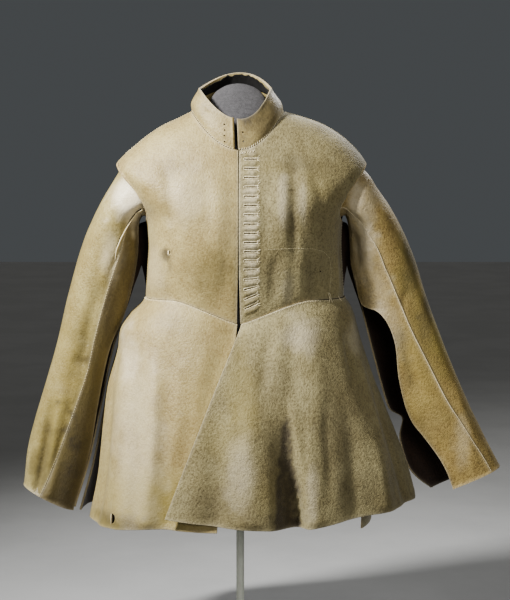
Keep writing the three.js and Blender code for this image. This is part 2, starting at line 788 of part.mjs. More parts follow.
function formTorso() {
  const angles = formAngles();
  const ellipse = (halfWidth, front, back, shift, height) =>
    angles.map((angle) => {
      const sine = Math.sin(angle * DEGREE);
      const cosine = Math.cos(angle * DEGREE);
      const depth = cosine > 0 ? front : back;
      return new THREE.Vector3(shift + halfWidth * sine, -depth * cosine, WAIST_Z + height(cosine));
    });
  const { halfWidth, front, back, shift, upper, z } = FORM_FOOT;
  const foot = [1, upper].map((share) => ellipse(halfWidth, front, back, shift, () => share * z));
  const torso = FORM_ROWS.map((row) =>
    angles.map((angle) => bodyCloth.at(row, angle, formDepth(row, angle))));
  const neck = FORM_NECK.halfWidth.map((reach, i) =>
    ellipse(reach, FORM_NECK.front[i], FORM_NECK.back[i], FORM_NECK_SHIFT, (cosine) =>
      mix(FORM_NECK.high[i], FORM_NECK.low[i], 0.5 + 0.5 * cosine)));
  const bottom = new THREE.Vector3(0, 0, WAIST_Z + z);
  const top = new THREE.Vector3(FORM_NECK_SHIFT, 0, WAIST_Z + FORM_NECK_TOP);
  return lofted([...foot, ...torso, ...neck], bottom, top);
}

function lathe(profile, segments) {
  const points = profile.map(([radius, z]) => new THREE.Vector2(radius, z));
  return new THREE.LatheGeometry(points, segments).rotateX(SIDE * DEGREE);
}

function standBase() {
  return lathe([
    [0, 0],
    [BASE_RADIUS, 0],
    [BASE_RADIUS, BASE_THICKNESS - BASE_BEVEL],
    [BASE_RADIUS - BASE_BEVEL, BASE_THICKNESS],
    [0, BASE_THICKNESS],
  ], 36);
}

function standPole() {
  const foot = BASE_THICKNESS + FIT_GAP;
  const head = WAIST_Z + FORM_FOOT.z - FIT_GAP;
  return lathe([
    [0, foot],
    [POLE_FOOT.radius, foot],
    [POLE_FOOT.radius, foot + POLE_FOOT.height],
    [POLE_RADIUS, foot + POLE_FOOT.top],
    [POLE_RADIUS, head - POLE_HEAD.taper],
    [POLE_FLANGE_RADIUS, head - POLE_HEAD.height],
    [POLE_FLANGE_RADIUS, head],
    [0, head],
  ], 16);
}

// ---- holes cut through ---------------------------------------------------------------------

function toSolid(geometry) {
  const bare = geometry.clone();
  bare.deleteAttribute("normal");
  bare.deleteAttribute("uv");
  const merged = mergeVertices(bare, 1e-4);
  return new wasm.Manifold(new wasm.Mesh({
    numProp: 3,
    vertProperties: new Float32Array(merged.attributes.position.array),
    triVerts: new Uint32Array(merged.index.array),
  }));
}

function fromSolid(solid) {
  const mesh = solid.getMesh();
  const geometry = new THREE.BufferGeometry();
  geometry.setAttribute("position", new THREE.BufferAttribute(mesh.vertProperties, 3));
  geometry.setIndex(new THREE.BufferAttribute(mesh.triVerts, 1));
  return geometry;
}

// A D-shaped plug that goes through a wall near hole.x, hole.y and hole.z.
function ripCutter(hole) {
  const outline = new THREE.Shape();
  outline.moveTo(-hole.width / 2, -hole.height / 2);
  outline.quadraticCurveTo(hole.width * 0.9, -hole.height * 0.35, hole.width / 2, hole.height / 3);
  outline.quadraticCurveTo(hole.width * 0.2, hole.height * 0.6, -hole.width / 2, hole.height / 2);
  outline.closePath();
  const depth = HOLE_DEPTH;
  const plug = new THREE.ExtrudeGeometry(outline, { depth, bevelEnabled: false, curveSegments: 4 });
  plug.translate(0, 0, -depth / 2).rotateX(SIDE * DEGREE).rotateZ(hole.turn * DEGREE);
  return plug.translate(hole.x, hole.y, WAIST_Z + hole.z);
}

function withHole(geometry, hole) {
  return fromSolid(toSolid(geometry).subtract(toSolid(ripCutter(hole))));
}

// ---- the whole -----------------------------------------------------------------------------

const coat = new THREE.Group();

function add(name, geometry, finish) {
  geometry.computeVertexNormals();
  const mesh = new THREE.Mesh(geometry, new THREE.MeshStandardMaterial(finish));
  mesh.name = name;
  coat.add(mesh);
}

add("stand_base", standBase(), STAND_PAINT);
add("stand_pole", standPole(), STAND_PAINT);
add("form_torso", formTorso(), FORM_CLOTH);

add("body_front_right", withHole(bodyFront(-1), CHEST_TEAR), LEATHER);
add("body_front_left", bodyFront(1), NAPPED_LEATHER);
add("body_back", bodyBack(), LEATHER);
add("collar", collar(), LEATHER);
add("collar_lining", collarLining(), DARK_LINING);

const frontRightEdge = (drop) => skirtAngleAtX(drop, edgeX(UNDER_EDGE, drop));
const frontLeftEdge = (drop) => skirtAngleAtX(drop, edgeX(LAP_EDGE, drop));
const backMiddle = (towards) => ventEdge(BACK, towards, 9);
const rightVent = (towards) => ventEdge(-SIDE, towards, 9);
const frontRightSkirt = skirt("skirt_front_right", rightVent(1), frontRightEdge, underShares());
add("skirt_front_right", withHole(frontRightSkirt, HEM_RIP), LEATHER);
add(
  "skirt_front_left",
  skirt("skirt_front_left", frontLeftEdge, ventEdge(SIDE, -1, 4), LAP_SHARES),
  NAPPED_LEATHER,
);
add(
  "skirt_back_left",
  skirt("skirt_back_left", tuckedVentEdge, backMiddle(-1), evenShares(15)),
  NAPPED_LEATHER,
);
add(
  "skirt_back_right",
  skirt("skirt_back_right", rightVent(-1), ventEdge(-BACK, 1, 9), evenShares(14)),
  LEATHER,
);

for (const [side, sleeve] of [["right", RIGHT_SLEEVE], ["left", LEFT_SLEEVE]]) {
  add(`sleeve_${side}_main`, sleevePiece(sleeve, "seam", "opening", 20), SLEEVE_LEATHER);
  add(`sleeve_${side}_inner`, sleevePiece(sleeve, "free", "seam", 4), SLEEVE_LEATHER);
}

for (let i = 0; i < FASTENING_COUNT; i += 1) {
  add(`fastening_${String(i + 1).padStart(2, "0")}`, fastening(i), THREAD);
}

export default coat;
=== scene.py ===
"""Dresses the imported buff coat: its leather panels, stitching, worked slits, dress form and stand.

Sizes in the tables are in millimetres. Heights in them count from the waist, WAIST_Z above the
floor. The coat's front faces -Y, and its wearer's right is at -X.
"""
import logging
import math
from dataclasses import dataclass, field
from enum import Enum
from typing import Callable

import bpy
import numpy as np
from mathutils import Euler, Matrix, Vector


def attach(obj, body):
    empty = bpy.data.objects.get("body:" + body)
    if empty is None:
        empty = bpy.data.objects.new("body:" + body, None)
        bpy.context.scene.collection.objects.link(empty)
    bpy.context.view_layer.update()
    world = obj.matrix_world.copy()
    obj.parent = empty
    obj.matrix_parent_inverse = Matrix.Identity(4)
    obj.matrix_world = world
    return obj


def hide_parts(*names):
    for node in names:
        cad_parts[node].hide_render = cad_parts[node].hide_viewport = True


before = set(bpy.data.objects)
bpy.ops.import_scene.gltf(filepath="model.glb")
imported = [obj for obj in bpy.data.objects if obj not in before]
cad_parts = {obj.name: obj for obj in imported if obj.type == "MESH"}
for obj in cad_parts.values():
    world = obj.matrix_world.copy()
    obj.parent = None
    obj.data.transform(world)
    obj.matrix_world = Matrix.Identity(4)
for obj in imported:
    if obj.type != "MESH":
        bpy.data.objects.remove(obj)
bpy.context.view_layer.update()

LOG = logging.getLogger("buff_coat")
Array = np.ndarray
Table = dict[str, Array]
Rows = list[tuple[float, ...]]
Surface = Callable[[Array, Array], Array]
Socket = bpy.types.NodeSocket
Piece = bpy.types.Object

MM = 0.001
WAIST_Z = 655.0
BODY_WALL = 4.0
SLEEVE_WALL = 3.0
SEAM_GAP = 0.4
SLEEVE_SEAM_GAP = 0.7
EDGE_ROUNDING = 0.9
RELIEF_FADE = (-4.0, 14.0)
# How far a crease's depth darkens the leather in its trough: painted shade, with some dirt.
TROUGH_SHADE_AND_SOIL = 0.035
EDGE_WEAR, EDGE_WEAR_REACH = 0.3, 2.2
SIDE = 90.0
BACK = 180.0
UPRIGHT = np.array([0.0, 0.0, 1.0])
TO_FRONT = np.array([0.0, -1.0, 0.0])


class View(Enum):
    """A side that the coat is seen from: the direction towards the viewer, and the level axis."""

    FRONT = ((0.0, -1.0, 0.0), 0)
    BACK = ((0.0, 1.0, 0.0), 0)
    LEFT = ((1.0, 0.0, 0.0), 1)
    RIGHT = ((-1.0, 0.0, 0.0), 1)


class Edge(Enum):
    """An edge of a panel's grid."""

    FIRST = "first column"
    LAST = "last column"
    START = "first row"
    END = "last row"


# ---- small mathematics -----------------------------------------------------------------------


def table(columns: str, rows: Rows) -> Table:
    """A table as one array for each named column.

    Args:
        columns: the columns' names, with spaces between them.
        rows: one tuple for each row.

    Returns:
        The arrays by name.
    """
    return dict(zip(columns.split(), np.array(rows, float).T))


def mix(start: Array, end: Array, share: Array) -> Array:
    """The point at a share of the way from start to end."""
    return start + (end - start) * share


def ramp(low: float, high: float, value: Array) -> Array:
    """A smooth step from 0 at low to 1 at high."""
    share = np.clip((np.asarray(value, float) - low) / (high - low), 0, 1)
    return share * share * (3 - 2 * share)


def signed_power(value: Array, power: Array) -> Array:
    """The value's size to a power, with the value's sign."""
    return np.sign(value) * np.abs(value) ** power


def circle(angle: Array) -> tuple[Array, Array]:
    """The sine and cosine of an angle in degrees."""
    return np.sin(np.radians(angle)), np.cos(np.radians(angle))


def unit(vectors: Array) -> Array:
    """Vectors made one long."""
    return vectors / np.maximum(np.linalg.norm(vectors, axis=-1, keepdims=True), 1e-9)


def curve(keys: Array, values: Array, at: Array) -> Array:
    """A smooth cubic through (keys, values), with the slopes of its neighbours' chords.

    Args:
        keys: rising positions.
        values: a value for each key, or an array shaped like at for each key.
        at: where the curve is read.

    Returns:
        The curve's values, shaped like at.
    """
    at = np.asarray(at, float)
    order = np.arange(len(keys))
    low, high = np.maximum(order - 1, 0), np.minimum(order + 1, len(keys) - 1)
    values = values if values.ndim > 1 else values.reshape((-1,) + (1,) * at.ndim) + 0 * at
    run = (keys[high] - keys[low]).reshape((-1,) + (1,) * at.ndim)
    slope = (values[high] - values[low]) / run
    i = np.clip(np.searchsorted(keys, at) - 1, 0, len(keys) - 2)
    span = keys[i + 1] - keys[i]
    t = np.clip((at - keys[i]) / span, 0, 1)
    pick = lambda array, index: np.take_along_axis(array, index[None], 0)[0]
    rise = pick(values, i) * (1 + 2 * t) * (1 - t) ** 2 + pick(values, i + 1) * (3 - 2 * t) * t**2
    return rise + span * (pick(slope, i) * t * (1 - t) ** 2 - pick(slope, i + 1) * (1 - t) * t**2)


def soft_noise(points: Array, cell: float, seed: int) -> Array:
    """Smooth noise from -1 to 1: random values on a cubic lattice, eased between its corners.

    Args:
        points: places in millimetres, three to a row.
        cell: the lattice's spacing.
        seed: which lattice.

    Returns:
        One value for each place.
    """
    size = 24
    lattice = np.random.RandomState(seed).uniform(-1, 1, (size, size, size))
    place = points / cell + 100.0
    base = np.floor(place).astype(int)
    t = place - base
    t = t * t * (3 - 2 * t)
    total = np.zeros(points.shape[:-1])
    for corner in range(8):
        step = np.array([corner & 1, corner >> 1 & 1, corner >> 2 & 1])
        weight = np.where(step == 1, t, 1 - t).prod(-1)
        x, y, z = np.moveaxis((base + step) % size, -1, 0)
        total += weight * lattice[x, y, z]
    return total


def graded(count: int, pull: float = 0.75) -> Array:
    """Shares from 0 to 1, closer together at both ends."""
    even = np.linspace(0, 1, count)
    return even - pull * np.sin(2 * np.pi * even) / (2 * np.pi)


def outward(surface: Surface, up: Array, turn: Array, step: tuple[float, float, float]) -> Array:
    """The outward normals of a surface, from its neighbours on both sides.

    Args:
        surface: points as a function of up and turn.
        up: the first parameter.
        turn: the second parameter.
        step: how far to the neighbours along up and along turn, and 1 or -1 to face out.

    Returns:
        Unit normals.
    """
    along = surface(up, turn + step[1]) - surface(up, turn - step[1])
    rise = surface(up + step[0], turn) - surface(up - step[0], turn)
    return step[2] * unit(np.cross(along, rise))


# ---- the coat's sections ---------------------------------------------------------------------

SECTION_COLUMNS = "row zSide zFront zBack halfWidth front back shift square"
BODY = table(SECTION_COLUMNS, [
    (-1, -45, -40, -50, 190, 130, 114, 9, 2.5), (0, 9, 12, 6, 187.5, 128, 110, 9, 2.5),
    (1, 60, 56, 60, 184.5, 134, 114, 9, 2.45), (2, 115, 108, 120, 182, 138, 122, 9, 2.4),
    (3, 165, 150, 172, 189, 135, 127, 8, 2.35), (4, 212, 180, 220, 218, 128, 125, 8, 2.3),
    (5, 256, 205, 262, 233, 119, 118, 4, 2.2), (6, 297, 232, 300, 197, 109, 103, 8, 2.15),
    (7, 326, 255, 334, 157, 100, 86, 8, 2.1), (8, 342, 271, 355, 121, 93, 73, 5, 2.1),
    (9, 355, 285, 370, 86, 86, 62, -4, 2.05), (10, 368, 299, 385, 51, 79, 51, -13, 2),
])
NECK_ROW = 9.0
WAIST_DIP = 43.0
WAIST_DIP_ANGLE = 38.0
ARMHOLE_ROW, ARMHOLE_HEIGHT, ARMHOLE_FRONT, ARMHOLE_BACK = 3.85, 1.2, 29.0, 24.0
COLLAR = table(SECTION_COLUMNS, [
    (0, 355.6, 285.6, 370.6, 86, 86, 62, -4, 2.05), (1, 371, 305, 390, 85, 83.5, 62.5, -6.5, 2.05),
    (2, 386, 324, 411, 76.5, 78, 59, -8, 2.05), (3, 399, 341, 430, 67, 71, 54, -8.5, 2.05),
])
FRONT_OPENING = table("row right left", [(0, -4.5, 1.5), (1.2, -2.8, -0.6), (9, -2.6, -0.8)])
COLLAR_OPENING = table("row left right", [(0, -2.2, -9.5), (3, -4.6, -12)])
SKIRT = table("drop frontRight frontLeft backRight backLeft front back square", [
    (0, 187.5, 187.5, 187.5, 187.5, 128, 110, 2.5), (0.03, 192, 201, 192, 199, 134, 116, 2.45),
    (0.07, 206, 214, 206, 209, 141, 122, 2.4), (0.14, 226, 222, 226, 214, 152, 130, 2.35),
    (0.23, 232, 231, 233, 219, 165, 140, 2.3), (0.39, 249, 252, 252, 229, 185, 156, 2.25),
    (0.55, 258, 276, 264, 237, 202, 171, 2.2), (0.79, 270, 312, 286, 246, 220, 191, 2.2),
    (1, 289, 336, 311, 252, 232, 206, 2.2),
])
WAIST_SHIFT, WAIST_SHIFT_DROP = 9.0, 0.07
FRONT_HEM = table("angle rightHem leftHem", [
    (-90, -413, -366), (-60, -409, -366), (-28, -395, -370), (-9, -395, -380), (4, -396, -389),
    (19, -396, -391), (35, -396, -379), (60, -396, -372), (90, -396, -374),
])
BACK_HEM = table("angle rightHem leftHem", [
    (0, -405, -402), (40, -402, -404), (65, -404, -408), (90, -408, -414), (120, -408, -419),
])
FOLD_COLUMNS = "angle before after depth start"
FOLDS = {
    "skirt_front_right": [(-72, 14, 12, 7, 0.3), (-47, 10, 12, -6, 0.25), (-27, 12, 9, 8, 0.4)],
    "skirt_front_left": [
        (-8, 8, 9, 5, 0.3), (17.5, 10.5, 2.6, 34, 0.42), (38, 10, 10, 6, 0.2),
        (52, 9, 9, -7, 0.1), (70, 11, 11, 8, 0.25),
    ],
    "skirt_back_left": [(104, 12, 10, 9, 0.25), (136, 9, 14, 24, 0.35), (160, 10, 9, -7, 0.3)],
    "skirt_back_right": [(-158, 12, 9, 20, 0.4), (-137, 10, 10, -8, 0.25), (-116, 10, 12, 13, 0.3)],
}
LAP_EDGE, UNDER_EDGE = (3.5, -129.0), (-3.5, -40.0)
TUCK_FROM, TUCK_FULL, TUCK_DEGREES = 0.2, 1.3, 26.0
LAP_LIFT, UNDER_SINK, LAP_START = 5.0, 3.6, 0.06

SLEEVE_COLUMNS = "along x z halfWidth tilt y front back square"
SLEEVE_EDGES = "along seam free opening"


def section_point(sections: Table, row: Array, angle: Array) -> Array:
    """A superellipse section whose height changes from its sides to its middles.

    Args:
        sections: a table with SECTION_COLUMNS.
        row: which section, with shares between two.
        angle: degrees from the front, left positive.

    Returns:
        Points in millimetres.
    """
    row, angle = np.broadcast_arrays(np.asarray(row, float), np.asarray(angle, float))
    at = {name: curve(sections["row"], column, row) for name, column in sections.items()}
    sine, cosine = circle(angle)
    power = 2 / at["square"]
    depth = np.where(cosine > 0, at["front"], at["back"])
    middle = np.where(cosine > 0, at["zFront"], at["zBack"])
    return np.stack(
        [
            at["halfWidth"] * signed_power(sine, power) + at["shift"] * sine**2,
            -depth * signed_power(cosine, power),
            WAIST_Z + mix(at["zSide"], middle, cosine**2),
        ],
        -1,
    )


def body_point(row: Array, angle: Array) -> Array:
    """The body's surface: its sections, with the waist drawn down to a point in front."""
    point = section_point(BODY, row, angle)
    dip = WAIST_DIP * np.maximum(0, 1 - np.abs(angle) / WAIST_DIP_ANGLE) ** 1.6
    point[..., 2] -= dip * np.maximum(0, 1 - np.maximum(0, row) / 1.25) ** 2
    return point


def collar_point(row: Array, angle: Array) -> Array:
    """The collar's surface."""
    return section_point(COLLAR, row, angle)


BODY_STEP = (0.02, 0.5, 1.0)


def placed(surface: Surface, row: Array, angle: Array) -> tuple[Array, Array]:
    """Points and normals of the body's or the collar's surface."""
    return surface(row, angle), outward(surface, row, angle, BODY_STEP)


def body_under(row: Array, angle: Array, depth: Array) -> Array:
    """Points at a depth under the body's surface."""
    base, normal = placed(body_point, row, angle)
    return base - normal * np.asarray(depth)[..., None]


def across(surface: Surface, up: Array, turn: Array, length: Array, step: float) -> Array:
    """The change of turn that is a length across a surface."""
    chord = np.linalg.norm(surface(up, turn + step) - surface(up, turn - step), axis=-1)
    return length * 2 * step / chord


def angle_at_x(sections: Table, key: str, reach: str, at: Array, x: Array) -> Array:
    """The angle at which a section passes x."""
    half = curve(sections[key], sections[reach], at)
    square = curve(sections[key], sections["square"], at)
    return np.degrees(np.arcsin(np.clip(signed_power(x / half, square / 2), -1, 1)))


def skirt_angle(edge: tuple[float, float], drop: Array) -> Array:
    """The angle of a skirt's straight edge, given its x at the waist and at the hem."""
    x = mix(*edge, drop)
    right = angle_at_x(SKIRT, "drop", "frontRight", drop, x)
    return np.where(x < 0, right, angle_at_x(SKIRT, "drop", "frontLeft", drop, x))


def front_place(x: Array, z: Array) -> tuple[Array, Array]:
    """The body's row and angle at x and height z on its front, found by halving.

    Args:
        x: level places.
        z: heights from the waist.

    Returns:
        The rows and the angles.
    """
    low, high = np.zeros_like(x), np.full_like(x, NECK_ROW)
    for _ in range(24):
        middle = (low + high) / 2
        angle = angle_at_x(BODY, "row", "halfWidth", middle, x)
        under = body_point(middle, angle)[..., 2] < WAIST_Z + z
        low, high = np.where(under, middle, low), np.where(under, high, middle)
    return low, angle_at_x(BODY, "row", "halfWidth", low, x)


def on_front(x: Array, z: Array) -> tuple[Array, Array]:
    """Points and normals of the body's front at x and height z."""
    return placed(body_point, *front_place(x, z))


def skirt_surface(name: str) -> Surface:
    """A skirt panel's surface: level sections that widen to the hem, with folds running up from it.

    Args:
        name: the panel's node.

    Returns:
        Points as a function of minus the drop, from 0 at the waist to -1 at the hem, and the angle.
    """
    is_back = "back" in name
    end = "back" if is_back else "front"
    folds = table(FOLD_COLUMNS, FOLDS[name])

    def lap_depth(drop: Array, angle: Array) -> Array:
        """How far in the surface lies where the left front laps over the right one."""
        if name == "skirt_front_left":
            lift = LAP_LIFT * ramp(0, LAP_START, drop) * ramp(12, -2, angle)
            return -lift - 5 * drop * ramp(0, -28, angle)
        lap = skirt_angle(LAP_EDGE, drop)
        return UNDER_SINK * ramp(0, LAP_START, drop) * ramp(0, 1, (angle - lap + 10) / 9)

    def surface(up: Array, angle: Array) -> Array:
        """The panel's points."""
        drop, angle = np.broadcast_arrays(-np.asarray(up, float), np.asarray(angle, float))
        sine, cosine = circle(angle)
        at = {key: curve(SKIRT["drop"], column, drop) for key, column in SKIRT.items()}
        power = 2 / at["square"]
        half = np.where(sine < 0, at[end + "Right"], at[end + "Left"])
        away = angle[..., None] - folds["angle"]
        width = np.where(away < 0, folds["before"], folds["after"])
        near = np.maximum(0, 1 - np.abs(away) / width)
        grown = ramp(0, 1, (drop[..., None] - folds["start"]) / (1.05 - folds["start"]))
        inwards = (folds["depth"] * (0.5 - 0.5 * np.cos(near * np.pi)) * grown).sum(-1)
        inwards = inwards if is_back else inwards + lap_depth(drop, angle)
        hem = BACK_HEM if is_back else FRONT_HEM
        key = BACK - np.abs(angle) if is_back else angle
        hem_z = curve(hem["angle"], hem["leftHem" if "left" in name else "rightHem"], key)
        waist_z = body_point(0 * angle, angle)[..., 2] - SEAM_GAP
        shift = WAIST_SHIFT * sine**2 * np.maximum(0, 1 - np.maximum(0, drop) / WAIST_SHIFT_DROP)
        return np.stack(
            [
                half * signed_power(sine, power) + shift - inwards * sine,
                -at[end] * signed_power(cosine, power) + inwards * cosine,
                mix(waist_z, WAIST_Z + hem_z, drop),
            ],
            -1,
        )

    return surface


# ---- relief, stains, and painted shade and highlights ----------------------------------------

CREASE_COLUMNS = "x0 z0 x1 z1 before after depth"
MARK_COLUMNS = "x z rx rz amount"
BROAD_WAVE, FINE_WAVE = 62.0, 21.0
CREASE_WANDER = 0.008


def facing(normals: Array, view: View) -> Array:
    """How much of a view's relief a point takes, from which way it faces."""
    return ramp(0.05, 0.45, normals @ np.array(view.value[0]))


def seen(points: Array, view: View) -> tuple[Array, Array]:
    """A point's level place and height from the waist, as a view sees them."""
    return points[..., view.value[1]], points[..., 2] - WAIST_Z


def crease_depth(creases: Table, u: Array, v: Array) -> Array:
    """Depth of soft troughs, or ridges where negative.

    Each runs from (x0, z0) to (x1, z1). Across it is a bell curve with a width before and after
    its line, and along it the depth rises and falls smoothly to nothing at both ends.

    Args:
        creases: a table with CREASE_COLUMNS.
        u: level places.
        v: heights.

    Returns:
        The depths.
    """
    du, dv = creases["x1"] - creases["x0"], creases["z1"] - creases["z0"]
    length = np.hypot(du, dv)
    pu, pv = u[..., None] - creases["x0"], v[..., None] - creases["z0"]
    along = (pu * du + pv * dv) / length**2
    away = (pv * du - pu * dv) / length * np.where(dv < 0, 1, -1)
    away = away + CREASE_WANDER * length * np.sin(3 * np.pi * along + creases["x0"])
    width = np.where(away < 0, creases["before"], creases["after"])
    fade = ramp(0, 0.35, along) * ramp(1, 0.65, along)
    return (creases["depth"] * np.exp(-((away / width) ** 2)) * fade).sum(-1)


def mark_amount(mark_rows: Table, points: Array, u: Array, v: Array) -> Array:
    """How much stain, painted shade and painted highlight a point takes: soft ellipses with outlines
    broken up by noise.
    """
    wander = 1 + 0.35 * soft_noise(points, 26, 5) + 0.2 * soft_noise(points, 9, 6)
    level = (u[..., None] - mark_rows["x"]) / mark_rows["rx"]
    upright = (v[..., None] - mark_rows["z"]) / mark_rows["rz"]
    radius = np.hypot(level, upright) * wander[..., None]
    return (mark_rows["amount"] * ramp(1.15, 0.25, radius)).sum(-1)


@dataclass
class Relief:
    """What wear and hanging have done to a panel: creases, waviness, pillows, stains, and painted
    shade and highlights.

    Creases are rows of CREASE_COLUMNS. Soil and painted shade, wear and painted highlights, and
    gold are rows of MARK_COLUMNS.
    """

    creases: dict[View, Rows] = field(default_factory=dict)
    soil_and_shade: dict[View, Rows] = field(default_factory=dict)
    wear: dict[View, Rows] = field(default_factory=dict)
    gold: dict[View, Rows] = field(default_factory=dict)
    wave: float = 1.0
    seed: int = 1
    pillows: bool = False

    def depth(self, points: Array, normals: Array) -> Array:
        """How far in each point moves."""
        ripple = 0.35 * soft_noise(points, FINE_WAVE, self.seed + 1)
        depth = self.wave * (soft_noise(points, BROAD_WAVE, self.seed) + ripple)
        for view, rows in self.creases.items():
            creases = table(CREASE_COLUMNS, rows)
            depth = depth + crease_depth(creases, *seen(points, view)) * facing(normals, view)
        if self.pillows:
            depth = depth - slit_pillows(*seen(points, View.FRONT)) * facing(normals, View.FRONT)
        return depth

    def mask(self, mark_rows: dict[View, Rows], points: Array, normals: Array) -> Array:
        """The sum of one kind of mark over the views; the marks include painted shade and
        highlights.
        """
        total = np.zeros(points.shape[:-1])
        for view, rows in mark_rows.items():
            amount = mark_amount(table(MARK_COLUMNS, rows), points, *seen(points, view))
            total += amount * facing(normals, view)
        return total


# ---- worked slits ----------------------------------------------------------------------------

SLIT_COUNT = 17
SLIT_TOP, SLIT_BOTTOM = 268.0, 2.0
SLIT_X = 20.5
SLIT_LENGTH = 27.0
SLIT_PITCH = (SLIT_TOP - SLIT_BOTTOM) / (SLIT_COUNT - 1)


def slit_tilt(number: Array) -> Array:
    """The slope of a slit: level down the chest, and turned to the waist's seam at the bottom."""
    return 0.42 * ramp(12.0, 15.5, number)


def slit_pillows(x: Array, z: Array) -> Array:
    """Leather pillowed out between the slits: a raised cosine between each two."""
    slope = np.tan(slit_tilt((SLIT_TOP - z) / SLIT_PITCH))
    row = (SLIT_TOP - z + slope * (x - SLIT_X)) / SLIT_PITCH
    across_row = 0.5 - 0.5 * np.cos(2 * np.pi * row)
    inside = ramp(SLIT_X - 17, SLIT_X - 9, x) * ramp(SLIT_X + 17, SLIT_X + 8, x)
    ends = ramp(-1.2, -0.3, row) * ramp(SLIT_COUNT + 0.3, SLIT_COUNT - 0.6, row)
    return (3.2 * across_row - 1.2) * inside * ends


# ---- meshes ----------------------------------------------------------------------------------


def quads(rows: int, columns: int, closed: bool = False) -> Array:
    """The quads of a grid of points, row after row.

    Args:
        rows: rows of points.
        columns: points in a row.
        closed: whether the last column joins the first.

    Returns:
        Four corners for each quad.
    """
    last = columns if closed else columns - 1
    i, j = np.meshgrid(np.arange(rows - 1), np.arange(last), indexing="ij")
    i, j = i.ravel(), j.ravel()
    k = (j + 1) % columns
    here, above = i * columns, (i + 1) * columns
    return np.stack([here + j, here + k, above + k, above + j], 1)


def make_piece(
    name: str, points: Array, faces: list, finishes: list, layers: dict[str, Array] | None = None
) -> Piece:
    """A smooth-shaded mesh object from points in millimetres.

    Args:
        name: the piece's name.
        points: three coordinates to a row.
        faces: the corners of each face.
        finishes: materials for its slots.
        layers: values for each point, by attribute name.

    Returns:
        The object, at the origin.
    """
    mesh = bpy.data.meshes.new(name)
    mesh.from_pydata((points.reshape(-1, 3) * MM).tolist(), [], faces)
    for material in finishes:
        mesh.materials.append(material)
    for key, values in (layers or {}).items():
        layer = mesh.attributes.new(key, "FLOAT", "POINT")
        layer.data.foreach_set("value", np.clip(values, -1, 1).ravel().astype(np.float32))
    mesh.polygons.foreach_set("use_smooth", [True] * len(mesh.polygons))
    mesh.update()
    piece = bpy.data.objects.new(name, mesh)
    bpy.context.scene.collection.objects.link(piece)
    return piece


def thicken(piece: Piece, thickness: float) -> bpy.types.Modifier:
    """Gives a sheet its thickness in millimetres, inwards from its points."""
    wall = piece.modifiers.new("wall", "SOLIDIFY")
    wall.thickness = thickness * MM
    wall.offset = -1
    return wall


def closed_rings(rows: int, columns: int) -> list[list[int]]:
    """The faces of rings joined row to row, with the first and the last ring filled."""
    first, last = list(range(columns))[::-1], list(range((rows - 1) * columns, rows * columns))
    return [*quads(rows, columns, True).tolist(), first, last]


def apply_modifiers(piece: Piece) -> None:
    """Puts what a piece's modifiers make into its mesh."""
    graph = bpy.context.evaluated_depsgraph_get()
    mesh = bpy.data.meshes.new_from_object(
        piece.evaluated_get(graph), preserve_all_data_layers=True, depsgraph=graph
    )
    piece.modifiers.clear()
    piece.data = mesh


def tubes(paths: Array, ups: Array, radii: Array, sides: int = 6) -> tuple[Array, list]:
    """Closed tubes: a round profile carried along each path.

    Args:
        paths: shaped (tubes, stations, 3).
        ups: a direction away from the leather for each tube, shaped (tubes, 3).
        radii: the radius at each station, or for each tube and station.
        sides: the profile's sides.

    Returns:
        The points and the faces.
    """
    count, stations = paths.shape[:2]
    tangent = unit(np.gradient(paths, axis=1))
    sideways = unit(np.cross(tangent, ups[:, None, :]))
    lift = np.cross(sideways, tangent)
    turn = np.linspace(0, 2 * np.pi, sides, endpoint=False)
    reach = np.broadcast_to(radii, (count, stations))[..., None, None]
    cosine, sine = np.cos(turn)[:, None], np.sin(turn)[:, None]
    ring = sideways[..., None, :] * cosine + lift[..., None, :] * sine
    points = paths[..., None, :] + reach * ring
    size = stations * sides
    grid = quads(stations, sides, True)[None] + (np.arange(count) * size)[:, None, None]
    caps = np.stack([np.arange(sides)[::-1], np.arange(sides) + size - sides])
    caps = caps[None] + (np.arange(count) * size)[:, None, None]
    return points.reshape(-1, 3), [*grid.reshape(-1, 4).tolist(), *caps.reshape(-1, sides).tolist()]


